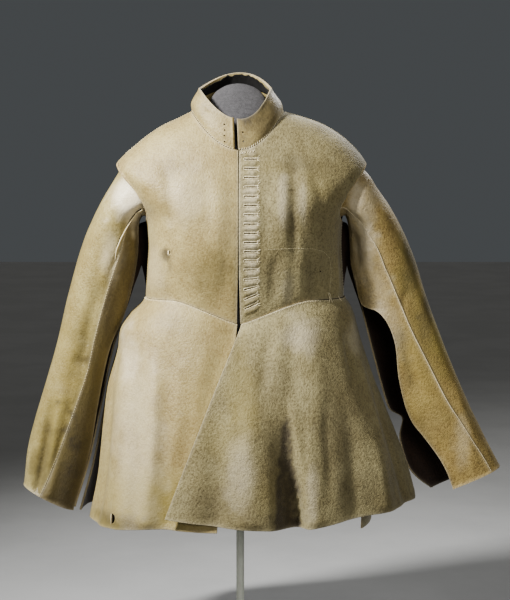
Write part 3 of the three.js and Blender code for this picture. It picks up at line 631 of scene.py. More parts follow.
@dataclass
class Panel:
    """One cut piece of leather, worked out on its own surface."""

    name: str
    surface: Surface
    step: tuple[float, float, float]
    ups: Array
    first: Array
    last: Array
    columns: int
    wall: float
    relief: Relief
    lifts: dict[Edge, Table] = field(default_factory=dict)
    edge_reach: float = 4.5

    def __post_init__(self) -> None:
        """Works out the grid: base points, how far each is from the edges, and the relief."""
        shares = graded(self.columns)
        self.turns = mix(self.first[:, None], self.last[:, None], shares[None, :])
        up = np.broadcast_to(self.ups[:, None], self.turns.shape)
        base = self.surface(up, self.turns)
        self.normals = outward(self.surface, up, self.turns, self.step)
        self.away = self.edge_distances(base)
        self.depths = self.relief.depth(base, self.normals)
        near = np.minimum.reduce(list(self.away.values()))
        depth = self.depths * ramp(*RELIEF_FADE, near)
        for edge, lift in self.lifts.items():
            key = up if edge in (Edge.FIRST, Edge.LAST) else self.turns
            height = curve(lift["at"], lift["height"], key)
            depth = depth - height * np.exp(-((self.away[edge] / self.edge_reach) ** 2))
        self.base, self.near = base, near
        self.points = base - self.normals * depth[..., None]

    @staticmethod
    def edge_distances(base: Array) -> dict[Edge, Array]:
        """Lengths over the grid from each of its four edges."""
        level = np.linalg.norm(np.diff(base, axis=1), axis=-1)
        rise = np.linalg.norm(np.diff(base, axis=0), axis=-1)
        from_first = np.concatenate([np.zeros((len(base), 1)), np.cumsum(level, 1)], 1)
        from_low = np.concatenate([np.zeros((1, base.shape[1])), np.cumsum(rise, 0)], 0)
        return {
            Edge.FIRST: from_first,
            Edge.LAST: from_first[:, -1:] - from_first,
            Edge.START: from_low,
            Edge.END: from_low[-1:] - from_low,
        }

    def flat_size(self) -> tuple[tuple[float, float], float]:
        """The cut's width, length and area, measured over the surface in metres."""
        width = self.away[Edge.FIRST][:, -1].max() * MM
        length = self.away[Edge.START][-1].max() * MM
        a = self.base[1:, 1:] - self.base[:-1, :-1]
        b = self.base[1:, :-1] - self.base[:-1, 1:]
        area = 0.5 * np.linalg.norm(np.cross(a, b), axis=-1).sum() * MM * MM
        return (round(width, 3), round(length, 3)), round(min(area, width * length * 0.999), 4)

    def line(
        self, edge: Edge, inset: float, start: float = 0.0, end: float = 1.0
    ) -> tuple[Array, Array]:
        """A line on the panel beside one of its edges.

        Args:
            edge: the edge.
            inset: how far from it, in millimetres.
            start: where the line starts, as a share of the edge.
            end: where it ends.

        Returns:
            Points and normals along the line.
        """
        rows = edge in (Edge.FIRST, Edge.LAST)
        away = self.away[edge] if rows else self.away[edge].T
        points = self.points if rows else self.points.swapaxes(0, 1)
        normals = self.normals if rows else self.normals.swapaxes(0, 1)
        nearest = np.argmin(np.abs(away - inset), axis=1)
        index = np.arange(len(nearest))
        span = slice(int(start * (len(index) - 1)), int(end * (len(index) - 1)) + 1)
        return points[index, nearest][span], normals[index, nearest][span]

    def build(self, finishes: list) -> Piece:
        """Makes the panel's piece.

        Args:
            finishes: materials for the outside, the inside and the cut edge.

        Returns:
            The piece, a wall with rounded edges.
        """
        rows, columns = self.turns.shape
        faces = quads(rows, columns)
        a, b, _, d = (self.points.reshape(-1, 3)[faces[:, k]] for k in range(4))
        if (np.cross(b - a, d - a) * self.normals.reshape(-1, 3)[faces[:, 0]]).sum() < 0:
            faces = faces[:, ::-1]
        kinds = {"soil_and_shade": self.relief.soil_and_shade, "wear": self.relief.wear, "gold": self.relief.gold}
        layers = {
            key: self.relief.mask(mark_rows, self.base, self.normals) for key, mark_rows in kinds.items()
        }
        # Troughs darker with the creases' depth: painted shade, with some dirt.
        layers["soil_and_shade"] += TROUGH_SHADE_AND_SOIL * np.clip(self.depths, -3, 8)
        layers["wear"] += EDGE_WEAR * np.exp(-self.near / EDGE_WEAR_REACH)
        piece = make_piece(self.name, self.points, faces.tolist(), finishes, layers)
        wall = thicken(piece, self.wall)
        wall.material_offset, wall.material_offset_rim = 1, 2
        rounding = piece.modifiers.new("rounding", "BEVEL")
        rounding.width, rounding.segments = EDGE_ROUNDING * MM, 2
        rounding.limit_method, rounding.angle_limit = "ANGLE", math.radians(50)
        return piece


Made = dict[str, tuple[Panel, Piece]]


def heights(*rows: tuple[float, float]) -> Table:
    """How high an edge lifts, at places along it."""
    return table("at height", list(rows))


def lathe(profile: list[tuple[float, float]], segments: int) -> tuple[Array, list]:
    """A profile of (radius, height) turned round the stand's axis, with its two ends closed."""
    radius, height = np.array(profile, float).T
    turn = np.linspace(0, 2 * np.pi, segments, endpoint=False)
    radius, height = radius[:, None], height[:, None] + 0 * turn
    points = np.stack([radius * np.cos(turn), radius * np.sin(turn), height], -1)
    return points.reshape(-1, 3), closed_rings(len(profile), segments)


# ---- finishes --------------------------------------------------------------------------------


def linear(red: int, green: int, blue: int) -> tuple[float, float, float, float]:
    """A display colour, 0 to 255, as the linear colour that shaders take."""
    channels = np.array([red, green, blue]) / 255
    low = channels / 12.92
    high = ((channels + 0.055) / 1.055) ** 2.4
    return (*np.where(channels < 0.04045, low, high).tolist(), 1.0)


class Graph:
    """A node tree, with short calls that add and join nodes."""

    def __init__(self, tree: bpy.types.NodeTree) -> None:
        """Takes the tree and empties it."""
        self.tree = tree
        tree.nodes.clear()

    def add(self, kind: str, inputs: dict | None = None, **settings: object) -> bpy.types.Node:
        """Adds a node.

        Args:
            kind: the node's type without its ShaderNode prefix, or a whole type name.
            inputs: a value or an output socket for each input, by name or index.
            settings: the node's own properties.

        Returns:
            The node.
        """
        node = self.tree.nodes.new(kind if kind.startswith("Node") else "ShaderNode" + kind)
        for key, value in settings.items():
            setattr(node, key, value)
        for key, value in (inputs or {}).items():
            if isinstance(value, Socket):
                self.tree.links.new(value, node.inputs[key])
            else:
                node.inputs[key].default_value = value
        return node

    def noise(self, vector: Socket, scale: object, detail: float, rough: float = 0.6) -> Socket:
        """A noise texture's value."""
        inputs = {"Vector": vector, "Scale": scale, "Detail": detail, "Roughness": rough}
        return self.add("TexNoise", inputs).outputs["Fac"]

    def math(self, operation: str, a: object, b: object = 0.0) -> Socket:
        """The result of a sum on two values."""
        return self.add("Math", {0: a, 1: b}, operation=operation).outputs[0]

    def weighted(self, *terms: tuple[object, float]) -> Socket:
        """The sum of values, each times its weight."""
        products = [self.math("MULTIPLY", value, weight) for value, weight in terms]
        total = products.pop()
        while products:
            total = self.math("ADD", products.pop(), total)
        return total

    def put(self, node: bpy.types.Node, **outputs: Socket) -> bpy.types.ShaderNodeTree:
        """Joins outputs to a node's inputs of the same names, and gives back the tree."""
        for key, socket in outputs.items():
            self.tree.links.new(socket, node.inputs[key])
        return self.tree

    def spread(self, value: Socket, low: float, high: float) -> Socket:
        """A value's range from low to high, stretched to 0 to 1."""
        inputs = {"Value": value, "From Min": low, "From Max": high}
        return self.add("MapRange", inputs, interpolation_type="SMOOTHSTEP").outputs["Result"]

    def blend(self, share: object, a: object, b: object, kind: str = "MIX") -> Socket:
        """A mix of two colours."""
        node = self.add("Mix", {0: share, 6: a, 7: b}, data_type="RGBA", blend_type=kind)
        return node.outputs[2]


def new_group(
    name: str, inputs: dict[str, str], outputs: dict[str, str]
) -> tuple[Graph, bpy.types.Node, bpy.types.Node]:
    """An empty shader node group.

    Args:
        name: the group's name.
        inputs: socket types, such as Float or Color, by name.
        outputs: the same for what it puts out.

    Returns:
        Its graph, its input node and its output node.
    """
    tree = bpy.data.node_groups.new(name, "ShaderNodeTree")
    graph = Graph(tree)
    for sockets, way in ((inputs, "INPUT"), (outputs, "OUTPUT")):
        for key, kind in sockets.items():
            tree.interface.new_socket(key, in_out=way, socket_type="NodeSocket" + kind)
    return graph, graph.add("NodeGroupInput"), graph.add("NodeGroupOutput")


def leather_group() -> bpy.types.ShaderNodeTree:
    """Hide: broad and small cloudy tones, pebbled nap and fine grain, from noise at four scales."""
    graph, given, out = new_group(
        "hide",
        {"Light": "Color", "Dark": "Color", "Cloud": "Float", "Speckle": "Float", "Rough": "Float"},
        {"Color": "Color", "Roughness": "Float", "Height": "Float"},
    )
    place = graph.add("TexCoord").outputs["Object"]
    long_way = graph.add("Mapping", {"Vector": place, "Scale": (1.0, 1.0, 0.8)}).outputs[0]
    broad = graph.noise(place, given.outputs["Cloud"], 3.0, 0.55)
    cloud = graph.noise(long_way, 42.0, 7.0, 0.68)
    pebble = graph.noise(long_way, 240.0, 5.0, 0.62)
    grain = graph.noise(place, 420.0, 4.0, 0.65)
    tone = graph.weighted((broad, 0.5), (cloud, 0.32), (pebble, 0.18))
    tone = graph.spread(tone, 0.34, 0.66)
    base = graph.blend(tone, given.outputs["Dark"], given.outputs["Light"])
    speckled = graph.weighted((grain, 0.5), (pebble, 0.4), (cloud, 0.1))
    pores = graph.math("MULTIPLY", graph.spread(speckled, 0.53, 0.4), given.outputs["Speckle"])
    color = graph.blend(pores, base, given.outputs["Dark"], "MULTIPLY")
    rough = graph.math("ADD", graph.weighted((grain, 0.25)), given.outputs["Rough"])
    height = graph.weighted((grain, 0.6), (pebble, 1.3), (cloud, 0.15))
    return graph.put(out, Color=color, Roughness=rough, Height=height)


def wear_group() -> bpy.types.ShaderNodeTree:
    """Wear: golden tan, soil and painted shade, pale worn places and painted highlights.

    They are laid over a colour, with broken outlines.
    """
    graph, given, out = new_group(
        "wear",
        {"Color": "Color", "Soil And Shade Color": "Color", "Worn And Highlight Color": "Color", "Gold Color": "Color"}
        | {"Soil And Shade": "Float", "Worn And Highlight": "Float", "Gold": "Float"},
        {"Color": "Color"},
    )
    place = graph.add("TexCoord").outputs["Object"]
    patches = graph.spread(graph.noise(place, 75.0, 6.0, 0.7), 0.3, 0.62)
    uneven = graph.math("ADD", graph.weighted((patches, 0.3)), 0.74)
    color = given.outputs["Color"]
    for key in ("Gold", "Soil And Shade", "Worn And Highlight"):
        amount = graph.math("MULTIPLY", given.outputs[key], uneven)
        share = graph.add("Clamp", {"Value": amount}).outputs[0]
        color = graph.blend(share, color, given.outputs[key + " Color"])
    return graph.put(out, Color=color)


def weave_group() -> bpy.types.ShaderNodeTree:
    """Weave: threads over and under, two sine waves crossing, with slubs from noise."""
    graph, given, out = new_group(
        "weave",
        {"Light": "Color", "Dark": "Color", "Pitch": "Float"},
        {"Color": "Color", "Height": "Float"},
    )
    place = graph.add("TexCoord").outputs["Object"]
    axes = graph.add("SeparateXYZ", {0: place})
    turn = graph.math("DIVIDE", 2 * math.pi, given.outputs["Pitch"])
    level = graph.math("ADD", axes.outputs[0], graph.math("MULTIPLY", axes.outputs[1], 0.8))
    warp = graph.math("SINE", graph.math("MULTIPLY", level, turn))
    weft = graph.math("SINE", graph.math("MULTIPLY", axes.outputs[2], turn))
    cross = graph.math("MULTIPLY", warp, weft)
    slub = graph.noise(place, 160.0, 4.0, 0.6)
    tone = graph.math("ADD", graph.weighted((cross, 0.14)), slub)
    tone = graph.spread(tone, 0.3, 0.75)
    color = graph.blend(tone, given.outputs["Dark"], given.outputs["Light"])
    return graph.put(out, Color=color, Height=cross)


def finished(name: str) -> tuple[bpy.types.Material, Graph]:
    """A new material and its graph."""
    material = bpy.data.materials.new(name)
    material.use_nodes = True
    return material, Graph(material.node_tree)


def shade(
    graph: Graph, color: Socket, rough: object, height: Socket, relief: float, sheen: float = 0.0
) -> None:
    """Adds the shader, a bump in metres and the output.

    Args:
        graph: the material's graph.
        color: the base colour.
        rough: the roughness.
        height: the bump's height.
        relief: the bump's distance.
        sheen: the shader's sheen weight.
    """
    bump = graph.add("Bump", {"Height": height, "Strength": 1.0, "Distance": relief})
    inputs = {"Base Color": color, "Roughness": rough, "Sheen Weight": sheen}
    inputs["Normal"] = bump.outputs[0]
    shader = graph.add("BsdfPrincipled", inputs)
    graph.add("OutputMaterial", {"Surface": shader.outputs[0]})


@dataclass(frozen=True)
class Leather:
    """Oil-tanned buff leather: its tones, how cloudy and napped it is, and its wear.

    Its soil and worn colours also paint shade and highlights.
    """

    name: str
    light: tuple[int, int, int]
    dark: tuple[int, int, int]
    # The soil colour also paints shade, and the worn colour also paints highlights.
    soil_and_shade: tuple[int, int, int] = (68, 59, 40)
    worn_and_highlight: tuple[int, int, int] = (222, 213, 190)
    gold: tuple[int, int, int] = (146, 132, 72)
    cloud: float = 8.0
    speckle: float = 0.3
    relief: float = 0.0007
    sheen: float = 0.15
    rough: float = 0.6

    def material(self, groups: dict[str, bpy.types.ShaderNodeTree]) -> bpy.types.Material:
        """Builds the material from the hide and wear groups."""
        material, graph = finished(self.name)
        given = {"Light": linear(*self.light), "Dark": linear(*self.dark), "Cloud": self.cloud}
        given |= {"Speckle": self.speckle, "Rough": self.rough}
        hide = graph.add("Group", given, node_tree=groups["hide"]).outputs
        marks = {"Color": hide["Color"]}
        for key, layer, color in (
            ("Soil And Shade", "soil_and_shade", self.soil_and_shade), ("Worn And Highlight", "wear", self.worn_and_highlight), ("Gold", "gold", self.gold)
        ):
            marks[key] = graph.add("Attribute", attribute_name=layer).outputs["Fac"]
            marks[key + " Color"] = linear(*color)
        color = graph.add("Group", marks, node_tree=groups["wear"]).outputs["Color"]
        shade(graph, color, hide["Roughness"], hide["Height"], self.relief, self.sheen)
        return material


@dataclass(frozen=True)
class Woven:
    """Woven cloth: its two tones and the pitch of its threads in metres."""

    name: str
    light: tuple[int, int, int]
    dark: tuple[int, int, int]
    pitch: float = 0.0012
    relief: float = 0.0002

    def material(self, groups: dict[str, bpy.types.ShaderNodeTree]) -> bpy.types.Material:
        """Builds the material from the weave group."""
        material, graph = finished(self.name)
        given = {"Light": linear(*self.light), "Dark": linear(*self.dark), "Pitch": self.pitch}
        weave = graph.add("Group", given, node_tree=groups["weave"]).outputs
        shade(graph, weave["Color"], 0.82, weave["Height"], self.relief, 0.06)
        return material


@dataclass(frozen=True)
class Plain:
    """Thread, paint or shadow: two tones that drift, with a slight unevenness."""

    name: str
    light: tuple[int, int, int]
    dark: tuple[int, int, int]
    rough: float = 0.8
    scale: float = 120.0
    relief: float = 0.0002

    def material(self, groups: dict[str, bpy.types.ShaderNodeTree]) -> bpy.types.Material:
        """Builds the material from one noise."""
        material, graph = finished(self.name)
        place = graph.add("TexCoord").outputs["Object"]
        drift = graph.noise(place, self.scale, 4.0)
        tone = graph.spread(drift, 0.35, 0.65)
        color = graph.blend(tone, linear(*self.dark), linear(*self.light))
        shade(graph, color, self.rough, drift, self.relief)
        return material


FINISHES = {
    "body": Leather(
        "buff leather", (174, 160, 114), (148, 131, 86), speckle=0.35, relief=0.0008, rough=0.36
    ),
    "nap": Leather(
        "napped buff leather", (157, 148, 111), (128, 117, 80),
        speckle=0.5, relief=0.0013, sheen=0.2, rough=0.55,
    ),
    "sleeve_right": Leather(
        "pale sleeve leather", (169, 157, 109), (141, 126, 77), speckle=0.3, rough=0.3
    ),
    # A darker copy of the right sleeve's leather, for its inner piece: painted shade.
    "sleeve_shaded": Leather(
        "sleeve leather in painted shade", (114, 102, 68), (88, 76, 47), speckle=0.35, rough=0.42
    ),
    "sleeve_left": Leather(
        "golden sleeve leather", (168, 148, 94), (136, 115, 64),
        speckle=0.45, relief=0.0010, rough=0.42,
    ),
    # The flesh side is darkened to stand for the shade inside the sleeves and the coat: painted
    # shade.
    "inside": Leather("flesh side in painted shade", (66, 47, 34), (44, 31, 22), speckle=0.4),
    "cut": Leather("cut edge", (186, 170, 128), (150, 132, 92), speckle=0.3, cloud=30.0),
    "torn": Leather("torn leather", (230, 219, 188), (204, 190, 154), speckle=0.2, cloud=30.0),
    "lining": Woven("dark lining", (15, 12, 11), (5, 4, 4), pitch=0.0016),
    "thread": Plain("linen thread", (236, 228, 200), (198, 186, 150), scale=300.0),
    "shadow": Plain("slit shadow", (46, 34, 22), (24, 17, 11), rough=0.95),
    "form": Woven("form cover", (97, 96, 99), (76, 75, 78), pitch=0.0009),
    "paint": Plain(
        "stand paint", (214, 217, 208), (204, 207, 198), rough=0.45, scale=40.0, relief=0.00005
    ),
    "floor": Plain("floor", (170, 171, 172), (164, 165, 166), rough=0.9, scale=3.0, relief=0.0),
}


class Palette:
    """The materials, made once each when first asked for."""

    def __init__(self) -> None:
        """Builds the shared groups."""
        self.groups = {"hide": leather_group(), "wear": wear_group(), "weave": weave_group()}
        self.made: dict[str, bpy.types.Material] = {}

    def __getitem__(self, key: str) -> bpy.types.Material:
        """The material of a finish."""
        if key not in self.made:
            self.made[key] = FINISHES[key].material(self.groups)
        return self.made[key]

    def leather(self, key: str) -> list[bpy.types.Material]:
        """A panel's three materials: outside, inside and cut edge."""
        return [self[key], self["inside"], self["cut"]]


def settle(piece: Piece, nodes: list[str], slot: str) -> Piece:
    """Makes a finished piece ride with the part and stand for its nodes."""
    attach(piece, "root")
    if nodes:
        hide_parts(*nodes)
    LOG.info("%s: %d faces", piece.name, len(piece.data.polygons))
    return piece


# ---- thread ----------------------------------------------------------------------------------


def resample(points: Array, normals: Array, pitch: float) -> tuple[Array, Array]:
    """Points at an even pitch along a line, with their normals."""
    run = np.concatenate([[0], np.cumsum(np.linalg.norm(np.diff(points, axis=0), axis=1))])
    at = np.arange(pitch / 2, run[-1], pitch)
    even = lambda array: np.stack([np.interp(at, run, array[:, k]) for k in range(3)], 1)
    return even(points), unit(even(normals))


@dataclass(frozen=True)
class Stitch:
    """One kind of stitch: its length, thickness and slope across the line it follows."""

    pitch: float
    length: float
    radius: float
    slope: float = 0.0
    lift: float = 0.5

    def along(self, points: Array, normals: Array, seed: int = 0) -> tuple[Array, list]:
        """Stitches along a line, each a short tube that rises out of the leather and goes back in.

        Args:
            points: the line.
            normals: its normals.
            seed: for their small unevenness.

        Returns:
            Points and faces.
        """
        places, ups = resample(points, normals, self.pitch)
        random = np.random.RandomState(seed)
        slope = np.radians(self.slope + random.normal(0, 5, len(places)))[:, None]
        tangent = unit(np.gradient(places, axis=0))
        heading = np.cos(slope) * tangent + np.sin(slope) * np.cross(ups, tangent)
        half = 0.5 * self.length * random.uniform(0.8, 1.1, len(places))[:, None, None]
        share = np.linspace(-1, 1, 5)[None, :, None]
        rise = self.lift * (1.2 * (1 - share**2) - 0.6)
        paths = places[:, None, :] + heading[:, None, :] * half * share + ups[:, None, :] * rise
        radii = self.radius * np.array([0.6, 0.95, 1.0, 0.95, 0.6])
        return tubes(paths, ups, radii, 5)


RUNNING = Stitch(pitch=5.2, length=3.6, radius=0.42)
WHIP = Stitch(pitch=4.6, length=6.5, radius=0.55, slope=58.0)
FINE = Stitch(pitch=2.6, length=1.9, radius=0.3)
HEAD_SEAM = np.array(
    [
        (-179, -53, 175), (-191, -49, 168), (-202, -45, 154), (-212, -46, 138),
        (-221, -48, 121), (-230, -49, 99), (-233.5, -49, 76),
    ]
)
# Seams that get a dark cord of painted shade: where it starts and ends along the edge, and its
# radius.
SHADED_SEAMS = {"collar": (0.0, 1.0, 0.5), "skirt_front_left": (0.5, 0.97, 0.6)}


def join(parts: list[tuple[Array, list]]) -> tuple[Array, list]:
    """Several meshes' points and faces as one."""
    points, faces, start = [], [], 0
    for part_points, part_faces in parts:
        points.append(part_points)
        faces.extend([[corner + start for corner in face] for face in part_faces])
        start += len(part_points)
    return np.concatenate(points), faces


# ---- sub-assemblies --------------------------------------------------------------------------


def body_rows(count: int) -> Array:
    """Rows from waist to neck, closer at the armhole's two ends, where its edge turns fast."""
    low, high = ARMHOLE_ROW - ARMHOLE_HEIGHT, ARMHOLE_ROW + ARMHOLE_HEIGHT
    below = low * graded(int(count * 0.3), 0.4)
    hole = ARMHOLE_ROW - ARMHOLE_HEIGHT * np.cos(np.linspace(0, np.pi, int(count * 0.36)))
    above = high + (NECK_ROW - high) * graded(int(count * 0.34), 0.4)
    return np.concatenate([below[:-1], hole, above[1:]])


def side_edge(rows: Array, sign: int, reach: float, way: int) -> Array:
    """The angles of a side edge: the side seam, drawn away from it round the armhole.

    Args:
        rows: the body's rows.
        sign: 1 for the left side, -1 for the right.
        reach: the armhole's width from the seam in degrees.
        way: -1 for a front's edge, 1 for the back's.

    Returns:
        One angle for each row.
    """
    gap = across(body_point, rows, np.full_like(rows, SIDE), SEAM_GAP / 2, 0.5)
    height = np.minimum(1, np.abs(rows - ARMHOLE_ROW) / ARMHOLE_HEIGHT)
    return sign * (SIDE + way * (gap + reach * np.sqrt(1 - height**2)))


SHOULDER_LIFT = {
    "right": heights(
        (0, 0.5), (2.6, 0.4), (2.8, 0.8), (4, 1.2), (4.8, 3.2),
        (5.0, 3.6), (5.3, 1.6), (6, 1.3), (9, 0.8),
    ),
    "left": heights(
        (0, 0.5), (2.6, 0.4), (2.8, 0.5), (4, 0.4), (4.8, 0.9),
        (5.0, 1.4), (5.3, 1.2), (6, 1.3), (9, 0.8),
    ),
}
BACK_ARMHOLE_LIFT = heights((0, 0.3), (2.8, 0.8), (5, 1.5), (5.3, 0.2), (9, 0.2))
BODY_ROWS = 190


@dataclass
class Body:
    """The coat's two fronts and its back."""

    palette: Palette
    rows: Array = field(default_factory=lambda: body_rows(BODY_ROWS))

    def front(self, sign: int, relief: Relief, waist: float) -> Panel:
        """Works out a front.

        Args:
            sign: 1 for the left front, -1 for the right.
            relief: its creases, stains, and painted shade and highlights.
            waist: how far the waist's edge lifts.

        Returns:
            The panel.
        """
        side = "left" if sign > 0 else "right"
        x = curve(FRONT_OPENING["row"], FRONT_OPENING[side], self.rows)
        first = angle_at_x(BODY, "row", "halfWidth", self.rows, x)
        last = side_edge(self.rows, sign, ARMHOLE_FRONT, -1)
        lifts = {
            Edge.FIRST: heights((0, -0.9), (9, -0.9)),
            Edge.LAST: SHOULDER_LIFT[side],
            Edge.START: heights((-90, waist), (90, waist)),
        }
        place = (body_point, BODY_STEP, self.rows, first, last)
        return Panel("leather_body_front_" + side, *place, 86, BODY_WALL, relief, lifts)

    def back(self) -> Panel:
        """Works out the back."""
        left = side_edge(self.rows, 1, ARMHOLE_BACK, 1)
        right = 2 * BACK + side_edge(self.rows, -1, ARMHOLE_BACK, 1)
        lifts = {
            Edge.FIRST: BACK_ARMHOLE_LIFT,
            Edge.LAST: BACK_ARMHOLE_LIFT,
            Edge.START: heights((90, -1.2), (270, -1.2)),
        }
        place = (body_point, BODY_STEP, self.rows, left, right)
        return Panel("leather_body_back", *place, 132, BODY_WALL, BACK_RELIEF, lifts)

    def build(self) -> Made:
        """Builds the three pieces."""
        made = {}
        right = self.front(-1, FRONT_RIGHT_RELIEF, -0.4)
        left = self.front(1, FRONT_LEFT_RELIEF, -1.3)
        for part, panel, finish, armholes in (
            ("front_right", right, "body", {Edge.LAST: "right"}),
            ("front_left", left, "nap", {Edge.LAST: "left"}),
            ("back", self.back(), "body", {Edge.LAST: "right", Edge.FIRST: "left"}),
        ):
            node = "body_" + part
            piece = panel.build(self.palette.leather(finish))
            if part == "front_right":
                cut_hole(piece, CHEST_TEAR)
            made[node] = (panel, settle(piece, [node], "leather_" + finish))
            for edge, side in armholes.items():
                settle(self.lip(panel, edge, f"lip_{part}_{side}"), [], "leather_body")
        settle(self.pricks(), [], "lining")
        return made

    def lip(self, panel: Panel, edge: Edge, name: str) -> Piece:
        """Makes the raw lip round an armhole: a bead of uneven thickness on the panel's edge.

        Args:
            panel: the panel.
            edge: its edge at the armhole.
            name: the piece's name.

        Returns:
            The piece.
        """
        points, normals = panel.line(edge, 0.0, 0.3, 0.7)
        path = (points - normals * BODY_WALL / 2)[None]
        taper = np.clip(4 * np.sin(np.pi * np.linspace(0, 1, path.shape[1])), 0.2, 1)
        radius = (2.3 + 0.6 * soft_noise(path, 11, 51) + 0.4 * soft_noise(path, 4, 52)) * taper
        points, faces = tubes(path, normals[len(normals) // 2][None], radius, 9)
        return make_piece(name, points, faces, [self.palette["cut"]])

    def pricks(self) -> Piece:
        """Makes the two small holes pricked through the fronts near the waist, as dark plugs:
        painted shade in the holes.
        """
        x, z = np.array([144.0, -133.0]), np.array([63.0, 16.0])
        base, normal = on_front(x, z)
        left = FRONT_LEFT_RELIEF.depth(base, normal)
        right = FRONT_RIGHT_RELIEF.depth(base, normal)
        lift = np.array([[-3.0, 0.35]]) - np.where(x > 0, left, right)[:, None]
        paths = base[:, None, :] + normal[:, None, :] * lift[..., None]
        points, faces = tubes(paths, np.broadcast_to(UPRIGHT, base.shape), np.full((1, 2), 1.6), 9)
        return make_piece("pricks", points, faces, [self.palette["shadow"]])


@dataclass
class Collar:
    """The standing collar, what is left of its lining, and its small holes."""

    palette: Palette
    rows: int = 44
    columns: int = 176
    lining_from: float = 92.0
    lining_to: float = 284.0
    lining_bottom: float = 1.6

    def leather(self) -> Panel:
        """Works out the collar's panel."""
        rows = 3 * graded(self.rows, 0.5)
        edge = {}
        for side in ("left", "right"):
            x = curve(COLLAR_OPENING["row"], COLLAR_OPENING[side], rows)
            edge[side] = angle_at_x(COLLAR, "row", "halfWidth", rows, x)
        lifts = {
            Edge.START: heights((0, -0.6), (360, -0.6)),
            Edge.END: heights((0, 0.6), (90, 1.4), (180, 1.8), (270, 1.4), (360, 0.4)),
            Edge.FIRST: heights((0, 0.8), (3, 1.4)),
            Edge.LAST: heights((0, 0.2), (3, 0.8)),
        }
        place = (collar_point, BODY_STEP, rows, edge["left"], 2 * BACK + edge["right"])
        return Panel("leather_collar", *place, self.columns, BODY_WALL, COLLAR_RELIEF, lifts)

    def lining(self) -> Piece:
        """Makes the lining: a band inside the collar whose upper edge is torn in uneven points."""
        columns, rows = 150, 14
        turn = np.linspace(self.lining_from, self.lining_to, columns)
        random = np.random.RandomState(11)
        jag = np.interp(np.arange(columns), np.arange(0, 151, 3), random.uniform(0, 1, 51))
        fray = 0.5 + 0.5 * np.sin(turn * 0.21)
        ends = 0.5 * (1 - ramp(96, 128, turn)) + 0.5 * ramp(262, 284, turn)
        top = 3.04 - 0.26 * jag - 0.12 * fray - ends
        row = mix(self.lining_bottom, top[None, :], np.linspace(0, 1, rows)[:, None])
        base, normal = placed(collar_point, row, np.broadcast_to(turn, row.shape))
        depth = BODY_WALL + 1.1 + 0.7 * soft_noise(base, 9, 31) + 0.4 * soft_noise(base, 3.5, 32)
        points = base - normal * depth[..., None]
        faces = quads(rows, columns).tolist()
        piece = make_piece("torn_lining", points, faces, [self.palette["lining"]])
        thicken(piece, 0.8)
        return piece

    def rim(self, panel: Panel) -> Piece:
        """Makes the rolled rim: a round bead of uneven thickness along the collar's upper edge.

        Args:
            panel: the collar's panel.

        Returns:
            The piece.
        """
        points, normals = panel.line(Edge.LAST, 1.4)
        radius = mix(4.8, 2.8, ramp(-5, 40, points[:, 1]))
        radius = radius * (0.68 + 0.32 * ramp(14, 44, np.abs(points[:, 0])))
        path = (points - normals * (BODY_WALL / 2 + 0.5 * (radius - 2.8))[:, None])[None]
        radius = radius + 0.6 * soft_noise(path, 14, 41) + 0.3 * soft_noise(path, 5, 42)
        points, faces = tubes(path, UPRIGHT[None], radius, 12)
        return make_piece("collar_rim", points, faces, [self.palette["body"]])

    def holes(self, panel: Panel) -> Piece:
        """Makes the pricked holes beside the collar's front edges: small dark dimples, their
        darkness painted shade.

        Args:
            panel: the collar's panel.

        Returns:
            The piece.
        """
        row, x = table(
            "row x", [(0.42, -27), (0.98, -27.5), (1.5, -26.5), (2.0, -27), (0.75, 7), (1.6, 6)]
        ).values()
        base, normals = placed(collar_point, row, angle_at_x(COLLAR, "row", "halfWidth", row, x))
        places = base - normals * panel.relief.depth(base, normals)[:, None]
        stations = np.array([-0.6, 0.3])[None, :, None]
        paths = places[:, None, :] + normals[:, None, :] * stations
        ups = np.broadcast_to([1.0, 0.0, 0.0], places.shape)
        points, faces = tubes(paths, ups, np.full((1, 2), 1.5), 10)
        return make_piece("collar_holes", points, faces, [self.palette["shadow"]])

    def build(self) -> Made:
        """Builds the collar's pieces."""
        panel = self.leather()
        body = self.palette["body"]
        piece = settle(panel.build([body, body, self.palette["cut"]]), ["collar"], "leather_body")
        settle(self.rim(panel), [], "leather_body")
        lining = settle(self.lining(), ["collar_lining"], "lining")
        settle(self.holes(panel), [], "lining")
        return {"collar": (panel, piece)}


Edges = Callable[[Array, Surface], tuple[Array, Array]]


